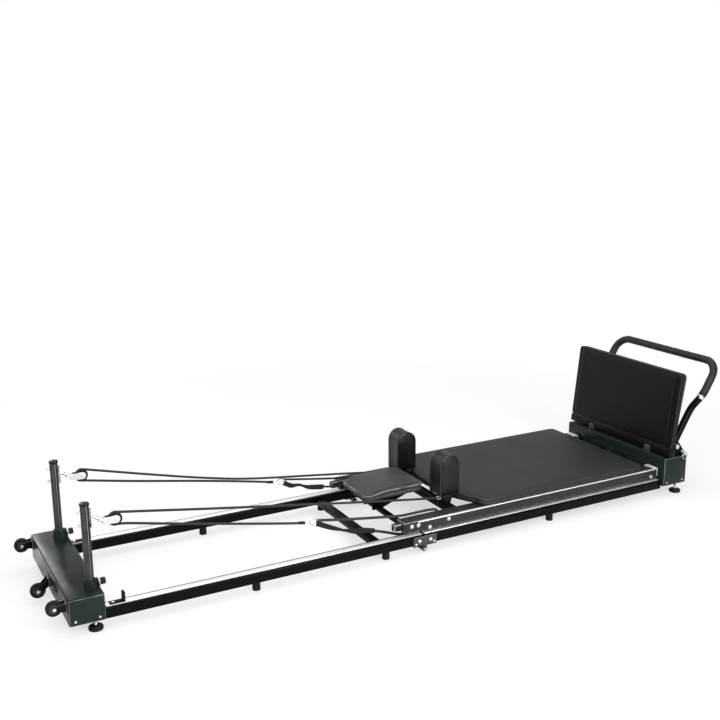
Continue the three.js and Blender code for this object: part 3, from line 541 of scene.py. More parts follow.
boxes = {
    "foot_box": ("foot_frame", (1084, 1200), 287, (43, 156)),
    "head_box": ("head_frame", (-1200, -1093), 276, (31, 114)),
}
POST = (-1120, 211)
COLLAR_TOP = 138
for name, (body, (x0, x1), half, (z0, z1)) in boxes.items():
    parts = [(block(at(x0, -half + 2, z0), at(x1, half - 2, z1), 0.0035, 3), box_paint)]
    for side, s in SIDES:
        cap = flank(s, (x0 + 1.5, x1 - 1.5), (half - 4, half), (z0 + 1.5, z1 - 1.5), 0.0012)
        parts.append((cap, cap_paint))
        for x in (x0 + 18, x1 - 18):
            parts.append((dome_screw(at(x, s * (half - 0.6), z0 + 14), (0, s, 0), 2.6, 0.5), screw_steel))
        parts.append((rod(6, -0.4, 1, at((x0 + x1) / 2, s * 120, z0), (0, 0, 1), 20), cap_paint))
        if name == "head_box":
            y = s * POST[1]
            collar = [(0, z1 - 1), (22, z1 - 1), (22, z1 + 1.5), (19.4, z1 + 3), (19, z1 + 5),
                      (19, COLLAR_TOP - 2), (18, COLLAR_TOP), (13.6, COLLAR_TOP), (13.4, COLLAR_TOP - 3),
                      (0, COLLAR_TOP - 3)]
            parts.append((turned(collar, at(POST[0], y, 0), (0, 0, 1), 40), box_paint))
            gusset = [(POST[0] + 15, z1 - 1), (POST[0] + 29, z1 - 1), (POST[0] + 24, COLLAR_TOP - 1),
                      (POST[0] + 15, COLLAR_TOP - 1)]
            parts.append((pulled(flat(gusset), 0.016, across(y / 1000 - 0.008), 0.001), box_paint))
    piece(f"{name}_shell", parts, body, [name])


# Rails: black rectangular tube with a bright track strip riveted along the top, plastic plugs in
# the ends and round rubber pads below. At the fold they carry hinge leaves on one steel pin.
rail_paint = painted("rail_paint", (9, 9, 10), (90, 94, 96), 0.24, 0.06)
leaf_paint = painted("leaf_paint", (56, 60, 58), (170, 174, 170), 0.36, 0.2, 0.5)
track_metal = finish("track_metal", plating, 0.25, (0.02, 0.0002), metallic=0.55, Colour=tone(244, 245, 245),
                     Marks=0.25)
rubber, given = effect("moulded_rubber", {
    "Colour": tone(18, 18, 18), "Dust": tone(70, 70, 68), "Roughness": 0.7, "Grain": 1400.0})
spot = spot_on(rubber)
dusty = spread(rubber, mottle(rubber, spot, 35.0, 5.0), 0.5, 0.8, 0.0, 0.35)
put_out(rubber, {
    "Colour": between(rubber, dusty, given["Colour"], given["Dust"]),
    "Roughness": maths(rubber, "MULTIPLY_ADD", dusty, 0.4, given["Roughness"]),
    "Height": mottle(rubber, spot, given["Grain"], 3.0),
})
black_rubber = finish("black_rubber", rubber, 0.7, (0.3, 0.0003), specular=0.2, Colour=tone(13, 13, 13))
black_plastic = finish("black_plastic", rubber, 0.34, (0.12, 0.0002), specular=0.2, Colour=tone(9, 9, 10),
                       Dust=tone(34, 34, 34), Grain=900.0)

RAIL_MIDDLE = 250.5
PIN_HEIGHT = 15


def rubber_pad(x, y):
    """A pad screwed under the rail, with a rounded sole."""
    sole = [(0, 0), (11, 0), (12.6, 0.8), (13, 2.4), (13, 29), (12, 32.5), (0, 32.5)]
    return turned(sole, at(x, y, 0), sides=28)


def fold_leaf(s, way, knuckle):
    """An angle plate under and beside the rail, its web, and its knuckle on the fold pin."""
    span = sorted((way * 1.2, way * 45))
    web = sorted((way * 1.2, way * 9))
    length = knuckle[1] - knuckle[0]
    barrel = [(4.2, 0), (8.2, 0), (9, 0.8), (9, length - 0.8), (8.2, length), (4.2, length), (4.2, 0)]
    return [
        (flank(s, span, (227, 277.4), (28.7, 31.7), 0.0006), leaf_paint),
        (flank(s, span, (274.3, 277.4), (28.7, 63), 0.0006), leaf_paint),
        (flank(s, web, knuckle, (PIN_HEIGHT + 3, 29.5), 0.0005), leaf_paint),
        (turned(barrel, at(0, s * knuckle[0], PIN_HEIGHT), (0, s, 0), 28), leaf_paint),
        (dome_screw(at(way * 22, s * 277, 48), (0, s, 0), 4.6, 2.2), screw_steel),
        (dome_screw(at(way * 36, s * 277, 38), (0, s, 0), 3.0, 1.4), screw_steel),
    ]


for side, s in SIDES:
    for end, (x0, x1), stops in (("foot", (1.2, 1083.7), []), ("head", (-1092.7, -1.2), [-1078])):
        parts = [(flank(s, (x0, x1), (227, 274), (32, 64), 0.0025, 3), rail_paint),
                 (flank(s, (x0 + 4, x1 - 4), (238.5, 262.5), (63, 67), 0.0009), track_metal)]
        fold = x0 if end == "foot" else x1
        way = 1 if end == "foot" else -1
        parts.append((flank(s, sorted((fold, fold + 3 * way)), (230, 271), (35, 61), 0.001), black_plastic))
        for x in (555,) if end == "foot" else (-612, -140):
            parts.append((rubber_pad(x, s * RAIL_MIDDLE), black_rubber))
        for x in stops:
            parts.append((flank(s, (x, x + 48), (240.5, 260.5), (66.6, 70), 0.0006), rail_paint))
            parts.append((flank(s, (x + 40, x + 48), (240.5, 260.5), (67, 97), 0.0015), black_rubber))
            parts.append((dome_screw(at(x + 12, s * RAIL_MIDDLE, 69.6), (0, 0, 1), 4.0, 1.8), screw_steel))
        if end == "foot":
            parts += fold_leaf(s, 1, (250.3, 274))
        piece(f"{end}_rail_{side}_tube", parts, f"{end}_frame", [f"{end}_rail_{side}"])
    pin = turned([(0, 0), (6.6, 0), (7, 0.6), (7, 3.4), (4, 3.6), (4, 54), (3.4, 55), (0, 55)],
                 at(0, s * 222.4, PIN_HEIGHT), (0, s, 0), 24)
    piece(f"fold_leaf_{side}", fold_leaf(s, -1, (230, 249.7)) + [(pin, screw_steel)], "head_frame",
          [f"hinge_leaf_{side}"])
cross_tube = block(at(-172, -226.7, 34), at(-142, 226.7, 56), 0.003, 3)
piece("head_cross_tube", [(cross_tube, rail_paint)], "head_frame", ["crossbar_head"])


# Levelling feet: a rubber disc on a threaded steel stem, with a lock nut against the box above it.
# Four stand under the corners of the frame.
for end, body, x, y, top in (("foot", "foot_frame", 1172, 262, 43), ("head", "head_frame", -1122, 258, 31)):
    for side, s in SIDES:
        thread = [(3.9 + 0.5 * (k % 2), 12 + k * 0.8) for k in range(round((top - 18) / 0.8))]
        stem = turned([(0, 12), *thread, (0, top - 0.2)], at(x, s * y, 0), sides=20)
        nut = turned([(0, top - 7), (7.4, top - 7), (8, top - 6), (8, top - 1.3), (7.4, top - 0.4),
                      (0, top - 0.4)], at(x, s * y, 0), sides=6)
        disc = turned([(0, 0), (19, 0), (21.4, 1), (22, 3), (22, 9), (20.5, 11), (9, 13.6), (6.5, 15),
                       (0, 15)], at(x, s * y, 0), sides=40)
        parts = [(disc, black_rubber), (stem, screw_steel), (nut, screw_steel)]
        piece(f"levelling_foot_{end}_{side}", parts, body, [f"{end}_disc_{side}"])


# Posts: chrome-plated tube standing in the collars, closed with a black cap. Each is clamped by a
# knob with a threaded shank that runs through the gusset.
satin = {"Anisotropic": 0.98, "Anisotropic Rotation": 0.25}
dark_chrome = finish("post_chrome", plating, 0.26, (0.005, 0.0002), metallic=1.0, fixed=satin,
                     Colour=tone(62, 63, 65), Marks=0.1)
KNOB_HEIGHT = 125
for side, s in SIDES:
    y = s * POST[1]
    tube = turned([(0, 112), (13, 112), (13, 371), (12.6, 371.6), (0, 371.6)], at(POST[0], y, 0), sides=48)
    cap = turned([(0, 370), (14.4, 370), (15, 371), (15, 374.5), (14, 377), (11, 378), (0, 378)],
                 at(POST[0], y, 0), sides=40)
    parts = [(tube, dark_chrome), (cap, black_plastic)]
    piece(f"post_tube_{side}", parts, "head_frame", [f"post_{side}"])
    start = POST[0] + 14.5
    shank = rod(3.9, 0, 17, at(start, y, KNOB_HEIGHT), (1, 0, 0), 20)
    lobes = []
    for turn in angles(30):
        reach = 0.0099 + 0.0011 * math.cos(turn * 5)
        lobes.append((reach * math.cos(turn), reach * math.sin(turn)))
    place = Matrix.Translation(at(POST[0] + 31, y, KNOB_HEIGHT)) @ Matrix.Rotation(math.pi / 2, 4, "Y")
    grip = pulled(lobes, 0.014, place, 0.0016, 3)
    stud = turned([(0, 0), (3.2, 0), (2.6, 1), (0, 1.2)], at(POST[0] + 43.8, y, KNOB_HEIGHT), (1, 0, 0), 16)
    piece(f"clamp_knob_{side}", [(shank, screw_steel), (grip, black_plastic), (stud, screw_steel)],
          f"post_knob_{side}", [f"post_knob_{side}"])


# Pulleys: a plated cheek block on a swivel eye, bolted through the post with two screws and nuts.
# The black sheave turns on a steel axle between the cheeks.
BRACKET_BOLTS = (309, 352)
for side, s in SIDES:
    y = s * POST[1]
    face = POST[0] + 14
    parts = [(block(at(face, y - 11, 299), at(face + 4, y + 11, 362), 0.0014, 3), chrome)]
    for z in BRACKET_BOLTS:
        parts.append((dome_screw(at(face + 4, y, z), (1, 0, 0), 4.2, 2.2), screw_steel))
        parts.append((rod(3, 0, 12, at(POST[0] - 24, y, z), (1, 0, 0), 16), screw_steel))
        nut = turned([(0, 0), (5.4, 0), (6, 0.8), (6, 5.8), (0, 6)], at(POST[0] - 20.5, y, z), (1, 0, 0), 6)
        parts.append((nut, screw_steel))
    bends = ((face + 4, 330), (face + 12, 330), (face + 22, 324), (-1071, 316))
    neck = smooth_line([at(x, y, z) for x, z in bends], 0.004)
    parts.append((run_tube(neck, [0.0062 - 0.0016 * k / len(neck) for k in range(len(neck))], 16), chrome))
    ring = [at(-1076 + 7.5 * math.cos(turn), y + 7.5 * math.sin(turn), 317)
            for turn in angles(24) + [2 * math.pi]]
    parts.append((run_tube(ring, 0.0026, 12), chrome))
    parts.append((block(at(-1072, y - 9.6, 305), at(-1060, y + 9.6, 321), 0.002, 3), chrome))
    cheek = []
    for turn in angles(40):
        wide = 12.6 if math.cos(turn) > 0 else 10.2
        x = (PULLEY[0] if math.cos(turn) > 0 else -1061) + wide * math.cos(turn)
        cheek.append((x, PULLEY[2] + wide * math.sin(turn)))
    for way in (-1, 1):
        parts.append((pulled(flat(cheek), 0.0022, across((y + way * 8.7 - 1.1) / 1000), 0.0006), chrome))
        axle_end = at(PULLEY[0], y + way * 9.6, PULLEY[2])
        parts.append((dome_screw(axle_end, (0, way, 0), 3.6, 1.8), screw_steel))
    parts.append((rod(4, 0, 19, at(PULLEY[0], y - 9.5, PULLEY[2]), (0, 1, 0), 24), screw_steel))
    piece(f"pulley_bracket_{side}", parts, "head_frame", [f"pulley_block_{side}"])
    groove = mirrored([(4.3, -6.2), (8, -6.4), (9, -5.4), (13, -5.4), (15, -6.5), (19, -6.5), (20, -5.8),
                       (19.6, -5), (15.6, -3.2), (15, 0)])
    piece(f"sheave_{side}", [(turned(groove, at(PULLEY[0], y, PULLEY[2]), (0, 1, 0), 48), black_plastic)],
          f"pulley_sheave_{side}", [f"pulley_sheave_{side}"])


# Transport wheels: solid rubber tyres on plastic hubs, each on a steel axle between two fork plates
# that are welded to a pad on the head box. Two sit high at the sides and one low in the middle.
fork_paint = painted("fork_paint", (13, 15, 15), (150, 154, 156), 0.3, 0.1, 0.4)
CASTER = -1236                     # the transport wheels' axles
for place, y, z, root in (("near", -251, 91, 91), ("middle", 0, 38, 66), ("far", 251, 91, 91)):
    parts = [(block(at(-1204, y - 17, root - 18), at(-1200.2, y + 17, root + 18), 0.0012), fork_paint)]
    for way in (-1, 1):
        arm = [(-1202, root + 14), (-1202, root - 14), (-1230, z - 9.5), (-1238, z - 8), (-1243, z - 3),
               (-1243, z + 3), (-1240, z + 8), (-1234, z + 10)]
        parts.append((pulled(flat(arm), 0.0024, across((y + way * 11.3 - 1.2) / 1000), 0.0006), fork_paint))
        parts.append((dome_screw(at(CASTER, y + way * 12.4, z), (0, way, 0), 3.9, 2.4), screw_steel))
        parts.append((dome_screw(at(-1204, y + way * 5, root - way * 10), (-1, 0, 0), 2.6, 1.2), screw_steel))
    parts.append((rod(4, 0, 24, at(CASTER, y - 12, z), (0, 1, 0), 24), screw_steel))
    piece(f"wheel_fork_{place}", parts, "head_frame", [f"caster_fork_{place}"])
    tyre = mirrored([(14.5, -8.2), (18, -9), (22, -7.6), (23.6, -5), (24, -2)])
    hub = mirrored([(4.3, -8.8), (6.5, -9), (7, -8), (7.4, -6), (13, -6), (14.6, -8)])
    piece(f"transport_wheel_{place}", [
        (turned(tyre, at(CASTER, y, z), (0, 1, 0), 48), black_rubber),
        (turned(hub, at(CASTER, y, z), (0, 1, 0), 40), leaf_paint)],
        f"caster_wheel_{place}", [f"caster_wheel_{place}"])


# Carriage beams: charcoal steel channels, open below, with an axle bolt near each end and three
# more bolts, all with domed nuts. A tongue at the head end takes the knob that locks the fold.
beam_paint = painted("beam_paint", (40, 43, 43), (190, 194, 190), 0.34, 0.12, 0.7)
WHEEL_HEIGHT = 85
AXLES = (28, 1041)
BEAM, BEAM_WIDTH, BEAM_WALL = (-75, 1072), (212, 262), (80, 115)
END_TRIM = (210.6, 263.2)
for side, s in SIDES:
    parts = [(flank(s, BEAM, BEAM_WIDTH, (112.5, 116), 0.0012, 3), beam_paint)]
    for x, y in ((BEAM, (212, 215.2)), (BEAM, (258.8, 262)), ((-75, -69), BEAM_WIDTH),
                 ((1066, 1072), BEAM_WIDTH)):
        parts.append((flank(s, x, y, BEAM_WALL), beam_paint))
    parts += [
        (flank(s, (1052, 1073), END_TRIM, (113, 117.2), 0.0012), track_metal),
        (flank(s, (1070, 1073), END_TRIM, (84, 116), 0.0012), track_metal),
        (flank(s, (-105, -72), (226, 248), (86, 110), 0.0025, 3), beam_paint),
        # A thin bright strip along the outer top edge: a painted highlight line, in the track's metal.
        (flank(s, (-20, 1060), (261.6, 262.6), (110, 113.5), 0.0004), track_metal),
    ]
    for x, z in ((-44, 100), (-18, 100), (105, 100), (AXLES[0], WHEEL_HEIGHT), (AXLES[1], WHEEL_HEIGHT)):
        parts.append((dome_screw(at(x, s * 261.6, z), (0, s, 0), 5.4, 4.2), screw_steel))
        parts.append((dome_screw(at(x, s * 212.4, z), (0, -s, 0), 5.4, 3.4), screw_steel))
    for x in AXLES:
        parts.append((rod(4, 0, 50, at(x, s * 212, WHEEL_HEIGHT), (0, s, 0), 20), screw_steel))
    piece(f"side_beam_{side}", parts, "carriage", [f"carriage_beam_{side}"])
    knob = [(0, -8), (7.5, -8), (9.6, -6.6), (10, -4), (10, 4), (9, 6.4), (5.4, 7.6), (5, 8), (5, 32),
            (0, 32)]
    piece(f"pull_knob_{side}", [(turned([(r, 244 - h) for r, h in knob], at(-92, 0, 98), (0, s, 0), 28),
                                 black_plastic)], f"lock_knob_{side}", [f"lock_knob_{side}"])
    for end, x in zip(("head", "foot"), AXLES):
        profile = mirrored([(4.3, -9), (7, -9), (8, -7.6), (13, -7.6), (14, -9), (16.4, -9), (17.7, -7.6)])
        roller = turned(profile, at(x, s * 240, WHEEL_HEIGHT), (0, 1, 0), 40)
        piece(f"roller_{end}_{side}", [(roller, black_plastic)], f"carriage_wheel_{end}_{side}",
              [f"carriage_wheel_{end}_{side}"])


# Crossbars of the carriage: black round tube under the headrest with two arm plates and a hinge
# pin, and flat bars under the shoulder blocks and for the springs. The bases are turned steel.
HEADREST_PIN = (88, 140)
headrest_bar = rod(11, -211.7, 211.7, at(-54, 0, 94), (0, 1, 0), 36)
arm = [(-70.8, 84), (-37, 84), (-34, 85), (83, 127.6), (93, 134.6), (94, 137), (94, 142.4), (84.6, 147.6),
       (82, 148), (-70.8, 148), (-72, 146.6), (-72, 85.4)]
parts = [(headrest_bar, rail_paint)]
for y in (-32, 32):
    parts.append((pulled(flat(arm), 0.0038, across((y - 1.9) / 1000), 0.0006), rail_paint))
    pin_end = at(HEADREST_PIN[0], y * 1.38, HEADREST_PIN[1])
    parts.append((dome_screw(pin_end, (0, y / 32, 0), 4.4, 2.4), screw_steel))
parts.append((rod(4, -44, 44, at(HEADREST_PIN[0], 0, HEADREST_PIN[1]), (0, 1, 0), 24), screw_steel))
piece("headrest_carrier", parts, "carriage", ["headrest_crossbar"])
anchor_bar = block(at(685, -211.7, 90), at(715, 211.7, 115.7), 0.0025, 3)
piece("spring_anchor_bar", [(anchor_bar, rail_paint)], "carriage", ["spring_crossbar"])

SHOULDER = (158, 149)
parts = [(block(at(138, -211.7, 92), at(170, 211.7, 115.7), 0.0025, 3), rail_paint)]
for s in (-1, 1):
    centre = at(SHOULDER[0], s * SHOULDER[1], 0)
    ribs = []
    for k, turn in enumerate(angles(48)):
        reach = 0.0245 + (0.0006 if k % 4 < 2 else -0.0004)
        ribs.append((reach * math.cos(turn), reach * math.sin(turn)))
    place = Matrix.Translation(centre + Vector((0, 0, 0.1155)))
    flange = [(0, 126), (26, 126), (27.6, 127), (28, 128.6), (28, 134), (29.4, 136), (30, 138), (30, 145),
              (29.4, 146.8), (28, 147.6), (0, 147.6)]
    parts.append((pulled(ribs, 0.021, place, 0.0004), rail_paint))
    parts.append((turned(flange, centre, sides=44), box_paint))
    parts.append((block(at(132, s * EYE[1] - 5, 135), at(148, s * EYE[1] + 5, 144), 0.0012), rail_paint))
    parts.append((run_tube(hoop(123.6, s * EYE[1], EYE[2], 8, 5.4, 24), 0.0019, 10), chrome))
piece("shoulder_carrier", parts, "carriage", ["shoulder_crossbar"])


# Mat: foam on a black-stained plywood board, under a fine-grained black cover. The head end is
# arched between the shoulder blocks, and a piped seam runs round the top and bottom edges.
cover, given = effect("grained_cover", {
    "Colour": tone(45, 45, 48), "Crease": tone(24, 24, 26), "Roughness": 0.5, "Grain": 620.0})
spot = spot_on(cover)
pull = node(cover, "ShaderNodeTexNoise", {"Vector": spot, "Scale": 60.0, "Detail": 3.0}).outputs["Color"]
shifted = node(cover, "ShaderNodeVectorMath", {0: pull, 1: (0.004, 0.004, 0.004), 2: spot},
               operation="MULTIPLY_ADD")
pebbles = node(cover, "ShaderNodeTexVoronoi", {"Vector": shifted.outputs[0], "Scale": given["Grain"]},
               feature="DISTANCE_TO_EDGE")
rise = spread(cover, pebbles.outputs[0], 0.0, 0.22)
clouds = mottle(cover, spot, 5.0, 5.0, Roughness=0.6)
# Painted shade: the grain's creases are coloured darker than its pebbles.
grained = between(cover, rise, given["Crease"], given["Colour"])
put_out(cover, {
    "Colour": scaled(cover, grained, spread(cover, clouds, 0.3, 0.7, 0.86, 1.14)),
    "Roughness": maths(cover, "ADD", spread(cover, clouds, 0.3, 0.7, -0.05, 0.07), given["Roughness"]),
    "Height": rise,
})


def covered(name, colour, painted_crease_shade, roughness, specular, relief, grain=620.0):
    """A finish of the grained cover: its grey, the painted shade in its creases, its gloss and its grain."""
    return finish(name, cover, roughness, relief, specular=specular, Colour=tone(*colour),
                  Crease=tone(*painted_crease_shade), Grain=grain)


mat_cover = covered("mat_cover", (46, 47, 50), (28, 29, 31), 0.5, 0.15, (0.35, 0.0003))
side_cover = covered("side_cover", (10, 10, 11), (5, 5, 6), 0.38, 0.25, (0.3, 0.0003))
rest_cover = covered("rest_cover", (64, 65, 68), (38, 39, 41), 0.42, 0.25, (0.35, 0.0003))
piping = covered("piping", (30, 31, 32), (16, 16, 18), 0.24, 0.6, (0.2, 0.0002))
# Painted highlight: light grey piping that stands in for the sheen on black piping.
painted_highlight_piping = covered("painted_highlight_piping", (150, 152, 152), (90, 92, 92), 0.24, 0.6, (0.2, 0.0002))


def arc(middle, radius, start, end, count=8):
    """Points round part of a circle, both ends among them."""
    return [(middle[0] + radius * math.cos(math.radians(start + (end - start) * k / count)),
             middle[1] + radius * math.sin(math.radians(start + (end - start) * k / count)))
            for k in range(count + 1)]


def bowed(a, b, c, count=12):
    """Points on the curve from a to c that b pulls outwards."""
    return [tuple((1 - t) ** 2 * p + 2 * t * (1 - t) * q + t * t * r for p, q, r in zip(a, b, c))
            for t in (k / count for k in range(count + 1))]


def spaced(corners, gap):
    """The closed outline through corners again, with points at even steps."""
    ring = [Vector(corner) for corner in corners]
    ring = [point for i, point in enumerate(ring) if (point - ring[i - 1]).length > 1e-6]
    total = sum((point - ring[i - 1]).length for i, point in enumerate(ring))
    count = round(total / gap)
    out, i, left = [], 0, 0.0
    for k in range(count):
        goal = total * k / count
        while left + (ring[(i + 1) % len(ring)] - ring[i]).length < goal:
            left += (ring[(i + 1) % len(ring)] - ring[i]).length
            i += 1
        a, b = ring[i], ring[(i + 1) % len(ring)]
        out.append(a.lerp(b, (goal - left) / max((b - a).length, 1e-9)))
    return out


def inwards(ring, depth):
    """The outline drawn in by a depth, square to itself."""
    out = []
    for i, point in enumerate(ring):
        way = (ring[(i + 1) % len(ring)] - ring[i - 1]).normalized()
        out.append(point + Vector((-way.y, way.x)) * depth)
    return out


def stuffed_form(ring, height, edge, crown, pinch, under=0.0, seam=0.0):
    """A stuffed form on an outline: rounded edges, sides drawn in, and a crown inside the seam."""
    shape = bmesh.new()
    centre = sum(ring, Vector((0, 0))) / len(ring)
    levels = []
    for share in (0.3, 0.6, 0.85):
        levels.append(([centre.lerp(point, share) for point in ring], -under * (1 - share ** 2)))
    for k in range(5):
        turn = math.radians(90 * k / 4)
        levels.append((inwards(ring, edge * (1 - math.sin(turn))), edge * (1 - math.cos(turn))))
    for k in range(1, 6):
        t = k / 6
        levels.append((inwards(ring, pinch * math.sin(math.pi * t)), edge + (height - 2 * edge) * t))
    for k in range(5):
        turn = math.radians(90 * k / 4)
        levels.append((inwards(ring, edge * (1 - math.cos(turn))), height - edge * (1 - math.sin(turn))))
    if seam:
        levels.append((inwards(ring, edge + seam * 0.5), height - 0.0001))
        levels.append((inwards(ring, edge + seam), height - 0.0011))
        levels.append((inwards(ring, edge + seam * 1.6), height + 0.0002))
    for share in (0.88, 0.8, 0.7, 0.6, 0.5, 0.4, 0.3, 0.2, 0.1):
        rise = crown * (1 - share ** 2) ** 0.75
        levels.append(([centre.lerp(point, share) for point in ring], height + rise))
    loops_of = [[shape.verts.new((point.x, point.y, z)) for point in points] for points, z in levels]
    bottom = shape.verts.new((centre.x, centre.y, -under))
    top = shape.verts.new((centre.x, centre.y, height + crown))
    for low, high in zip(loops_of, loops_of[1:]):
        for i in range(len(ring)):
            after = (i + 1) % len(ring)
            shape.faces.new((low[i], low[after], high[after], high[i]))
    for i in range(len(ring)):
        after = (i + 1) % len(ring)
        shape.faces.new((bottom, loops_of[0][after], loops_of[0][i]))
        shape.faces.new((loops_of[-1][i], loops_of[-1][after], top))
    return shape


def ripple(shape, size, depth, seed, only_up=True):
    """Small dents and swells, as foam under a tight cover has."""
    shape.normal_update()
    for vert in shape.verts:
        if only_up and vert.normal.z < 0.3:
            continue
        lift = noise.noise(vert.co * size + Vector((seed, seed * 2.3, seed * 0.7)))
        vert.co += vert.normal * depth * lift


def piped(ring, depth, height, radius, sides=8):
    """A piped seam round an outline, at a depth inside it and a height."""
    line = [Vector((point.x, point.y, height)) for point in inwards(ring, depth)]
    return run_tube(line + line[:1], radius, sides, ends=False)


def mat_outline(margin):
    """Square at the foot end, arched at the head end, from the same sizes as the solid."""
    half, foot, corner = 275 - margin, 984 - margin, 22
    return ([(270, -half)] + arc((foot - corner, -half + corner), corner, -90, 0)
            + arc((foot - corner, half - corner), corner, 0, 90)
            + bowed((270, half), (240 + margin, half), (234 + margin, half - 36))
            + bowed((234 + margin, half - 36), (159 + margin, half * 0.42), (173 + margin, 0))
            + bowed((173 + margin, 0), (159 + margin, -half * 0.42), (234 + margin, -half + 36))
            + bowed((234 + margin, -half + 36), (240 + margin, -half), (270, -half)))


def laid(points, gap=0.008):
    """An outline in millimetres, with points at even steps, in metres."""
    return spaced(flat(points), gap)


ring = laid(mat_outline(0.6))
MAT_BOTTOM = 0.128
pad = stuffed_form(ring, 0.0178, 0.005, 0.0028, 0.0012, seam=0.004)
ripple(pad, 9.0, 0.0007, 3.0)
lift = Matrix.Translation((0, 0, MAT_BOTTOM))
parts = [(pad, mat_cover), (piped(ring, 0.0006, 0.0148, 0.0017), piping),
         (piped(ring, 0.0006, 0.0024, 0.0015), piping)]
for shape, _ in parts:
    bmesh.ops.transform(shape, matrix=lift, verts=shape.verts)
mat = piece("mat_cushion", parts, "carriage", ["mat"], sharp=60)

plywood, given = effect("stained_plywood", {"Veneer": tone(20, 18, 17), "Glue line": tone(46, 38, 31)})
spot = spot_on(plywood)
layers = node(plywood, "ShaderNodeTexWave", {
    "Vector": spot, "Scale": 190.0, "Distortion": 0.6, "Detail": 2.0}, bands_direction="Z")
grain_way = node(plywood, "ShaderNodeMapping", {"Vector": spot, "Scale": (30, 400, 400)}).outputs[0]
put_out(plywood, {
    "Colour": between(plywood, layers.outputs["Fac"], given["Veneer"], given["Glue line"]),
    "Height": mottle(plywood, grain_way, 1.0, 4.0),
})
ply = finish("stained_ply", plywood, 0.6, (0.3, 0.0004), specular=0.3)
board_ring = [(point.x, point.y) for point in laid(mat_outline(12), 0.012)]
piece("mat_base", [(pulled(board_ring, 0.0114, Matrix.Translation((0, 0, 0.1163)), 0.0008), ply)], "carriage",
      ["mat_board"])


# Headrest: a small foam cushion with the same cover and piping. Its top is flat towards the mat
# and falls away towards the head end. Two steel lugs under it hang on the carrier's pin.
def rounded(x0, x1, y0, y1, radius):
    """A rectangle with round corners."""
    corners = ((x1 - radius, y0 + radius), (x1 - radius, y1 - radius), (x0 + radius, y1 - radius),
               (x0 + radius, y0 + radius))
    return [point for corner, start in zip(corners, (-90, 0, 90, 180))
            for point in arc(corner, radius, start, start + 90)]


ring = laid(rounded(-130, 105, -100, 100, 26), 0.007)
rest = stuffed_form(ring, 0.032, 0.009, 0.0035, 0.0025, seam=0.004)
ripple(rest, 22.0, 0.0016, 8.0)
# The top piping is a painted highlight, and the lower piping is its own colour.
parts = [(rest, rest_cover), (piped(ring, 0.0022, 0.0262, 0.0019), painted_highlight_piping),
         (piped(ring, 0.0016, 0.0052, 0.0017), piping)]
SLOPE_FROM, SLOPE_TO = at(-36, 0, 0).x, at(-130, 0, 0).x
for shape, _ in parts:
    for vert in shape.verts:
        t = min(1, max(0, (SLOPE_FROM - vert.co.x) / (SLOPE_FROM - SLOPE_TO)))
        vert.co.z *= 1 - 0.5 * t * t * (1.6 - 0.6 * t)
    bmesh.ops.transform(shape, matrix=Matrix.Translation((0, 0, 0.149)), verts=shape.verts)
lug = [(76, 152), (76, 136), (78, 133), (83, 130.4), (93, 130.4), (97, 133), (99, 136), (99, 152)]
for y in (-38, 38):
    parts.append((pulled(flat(lug), 0.0036, across((y - 1.8) / 1000), 0.0005), leaf_paint))
headrest = piece("headrest_cushion", parts, "headrest", ["headrest_pad"], sharp=60)


# Shoulder blocks: tall foam blocks with a round top, covered in two arched sides and one long
# gusset, with piping where they meet. Each stands on its turned base.
for side, s in SIDES:
    corners = arc((-36, 4), 4, 180, 270, 3) + arc((36, 4), 4, 270, 360, 3) + arc((0, 112), 40, 0, 180, 24)
    ring = spaced([(x / 1000, z / 1000) for x, z in corners], 0.006)
    block_shape = stuffed_form(ring, 0.078, 0.009, 0.0028, 0.0016, under=0.0028)
    ripple(block_shape, 18.0, 0.0012, 5.0 + s, only_up=False)
    parts = [(block_shape, side_cover), (piped(ring, 0.0018, 0.0048, 0.002), piping),
             (piped(ring, 0.0018, 0.0732, 0.002), piping)]
    place = Matrix.Translation(at(SHOULDER[0], s * SHOULDER[1] - 39, 148)) @ across(0)
    for shape, _ in parts:
        bmesh.ops.transform(shape, matrix=place, verts=shape.verts)
    shoulder = piece(f"shoulder_block_{side}", parts, "carriage", [f"shoulder_pad_{side}"],
                     sharp=60)


# Springs: five close-wound plated springs between the carriage and the foot frame, each with a
# straight leg and a hook at both ends.
COIL_START, COIL_END, COIL_RADIUS = 830, 985, 9.4
COIL_TURNS, TURN_STEPS = 26, 14
SPRING_HEIGHT = 101
SPRING_PLACES = (-152, -76, 0, 76, 152)
sleeve_profile = [(0, 0), (3.2, 0), (3.6, 1), (3.6, 9), (2.6, 10), (0, 10)]
for number, y in enumerate(SPRING_PLACES, 1):
    line = [at(x, y, SPRING_HEIGHT) for x in (715.6, 740, COIL_START - 12)]
    line.append(at(COIL_START - 4, y + 3, SPRING_HEIGHT + 2))
    for k in range(COIL_TURNS * TURN_STEPS + 1):
        turn = 2 * math.pi * k / TURN_STEPS + 0.4
        x = COIL_START + (COIL_END - COIL_START) * k / (COIL_TURNS * TURN_STEPS)
        line.append(at(x, y + COIL_RADIUS * math.sin(turn), SPRING_HEIGHT + COIL_RADIUS * math.cos(turn)))
    line.append(at(COIL_END + 4, y + 3, SPRING_HEIGHT + 2))
    line += [at(x, y, SPRING_HEIGHT) for x in (COIL_END + 12, 1020, 1041)]
    parts = [(run_tube(line, 0.0016, 8), chrome)]
    for x in (1029, 717):
        parts.append((turned(sleeve_profile, at(x, y, SPRING_HEIGHT), (1, 0, 0), 16), chrome))
    coil = piece(f"spring_coil_{number}", parts, "", [f"spring_{number}"])
    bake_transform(coil)


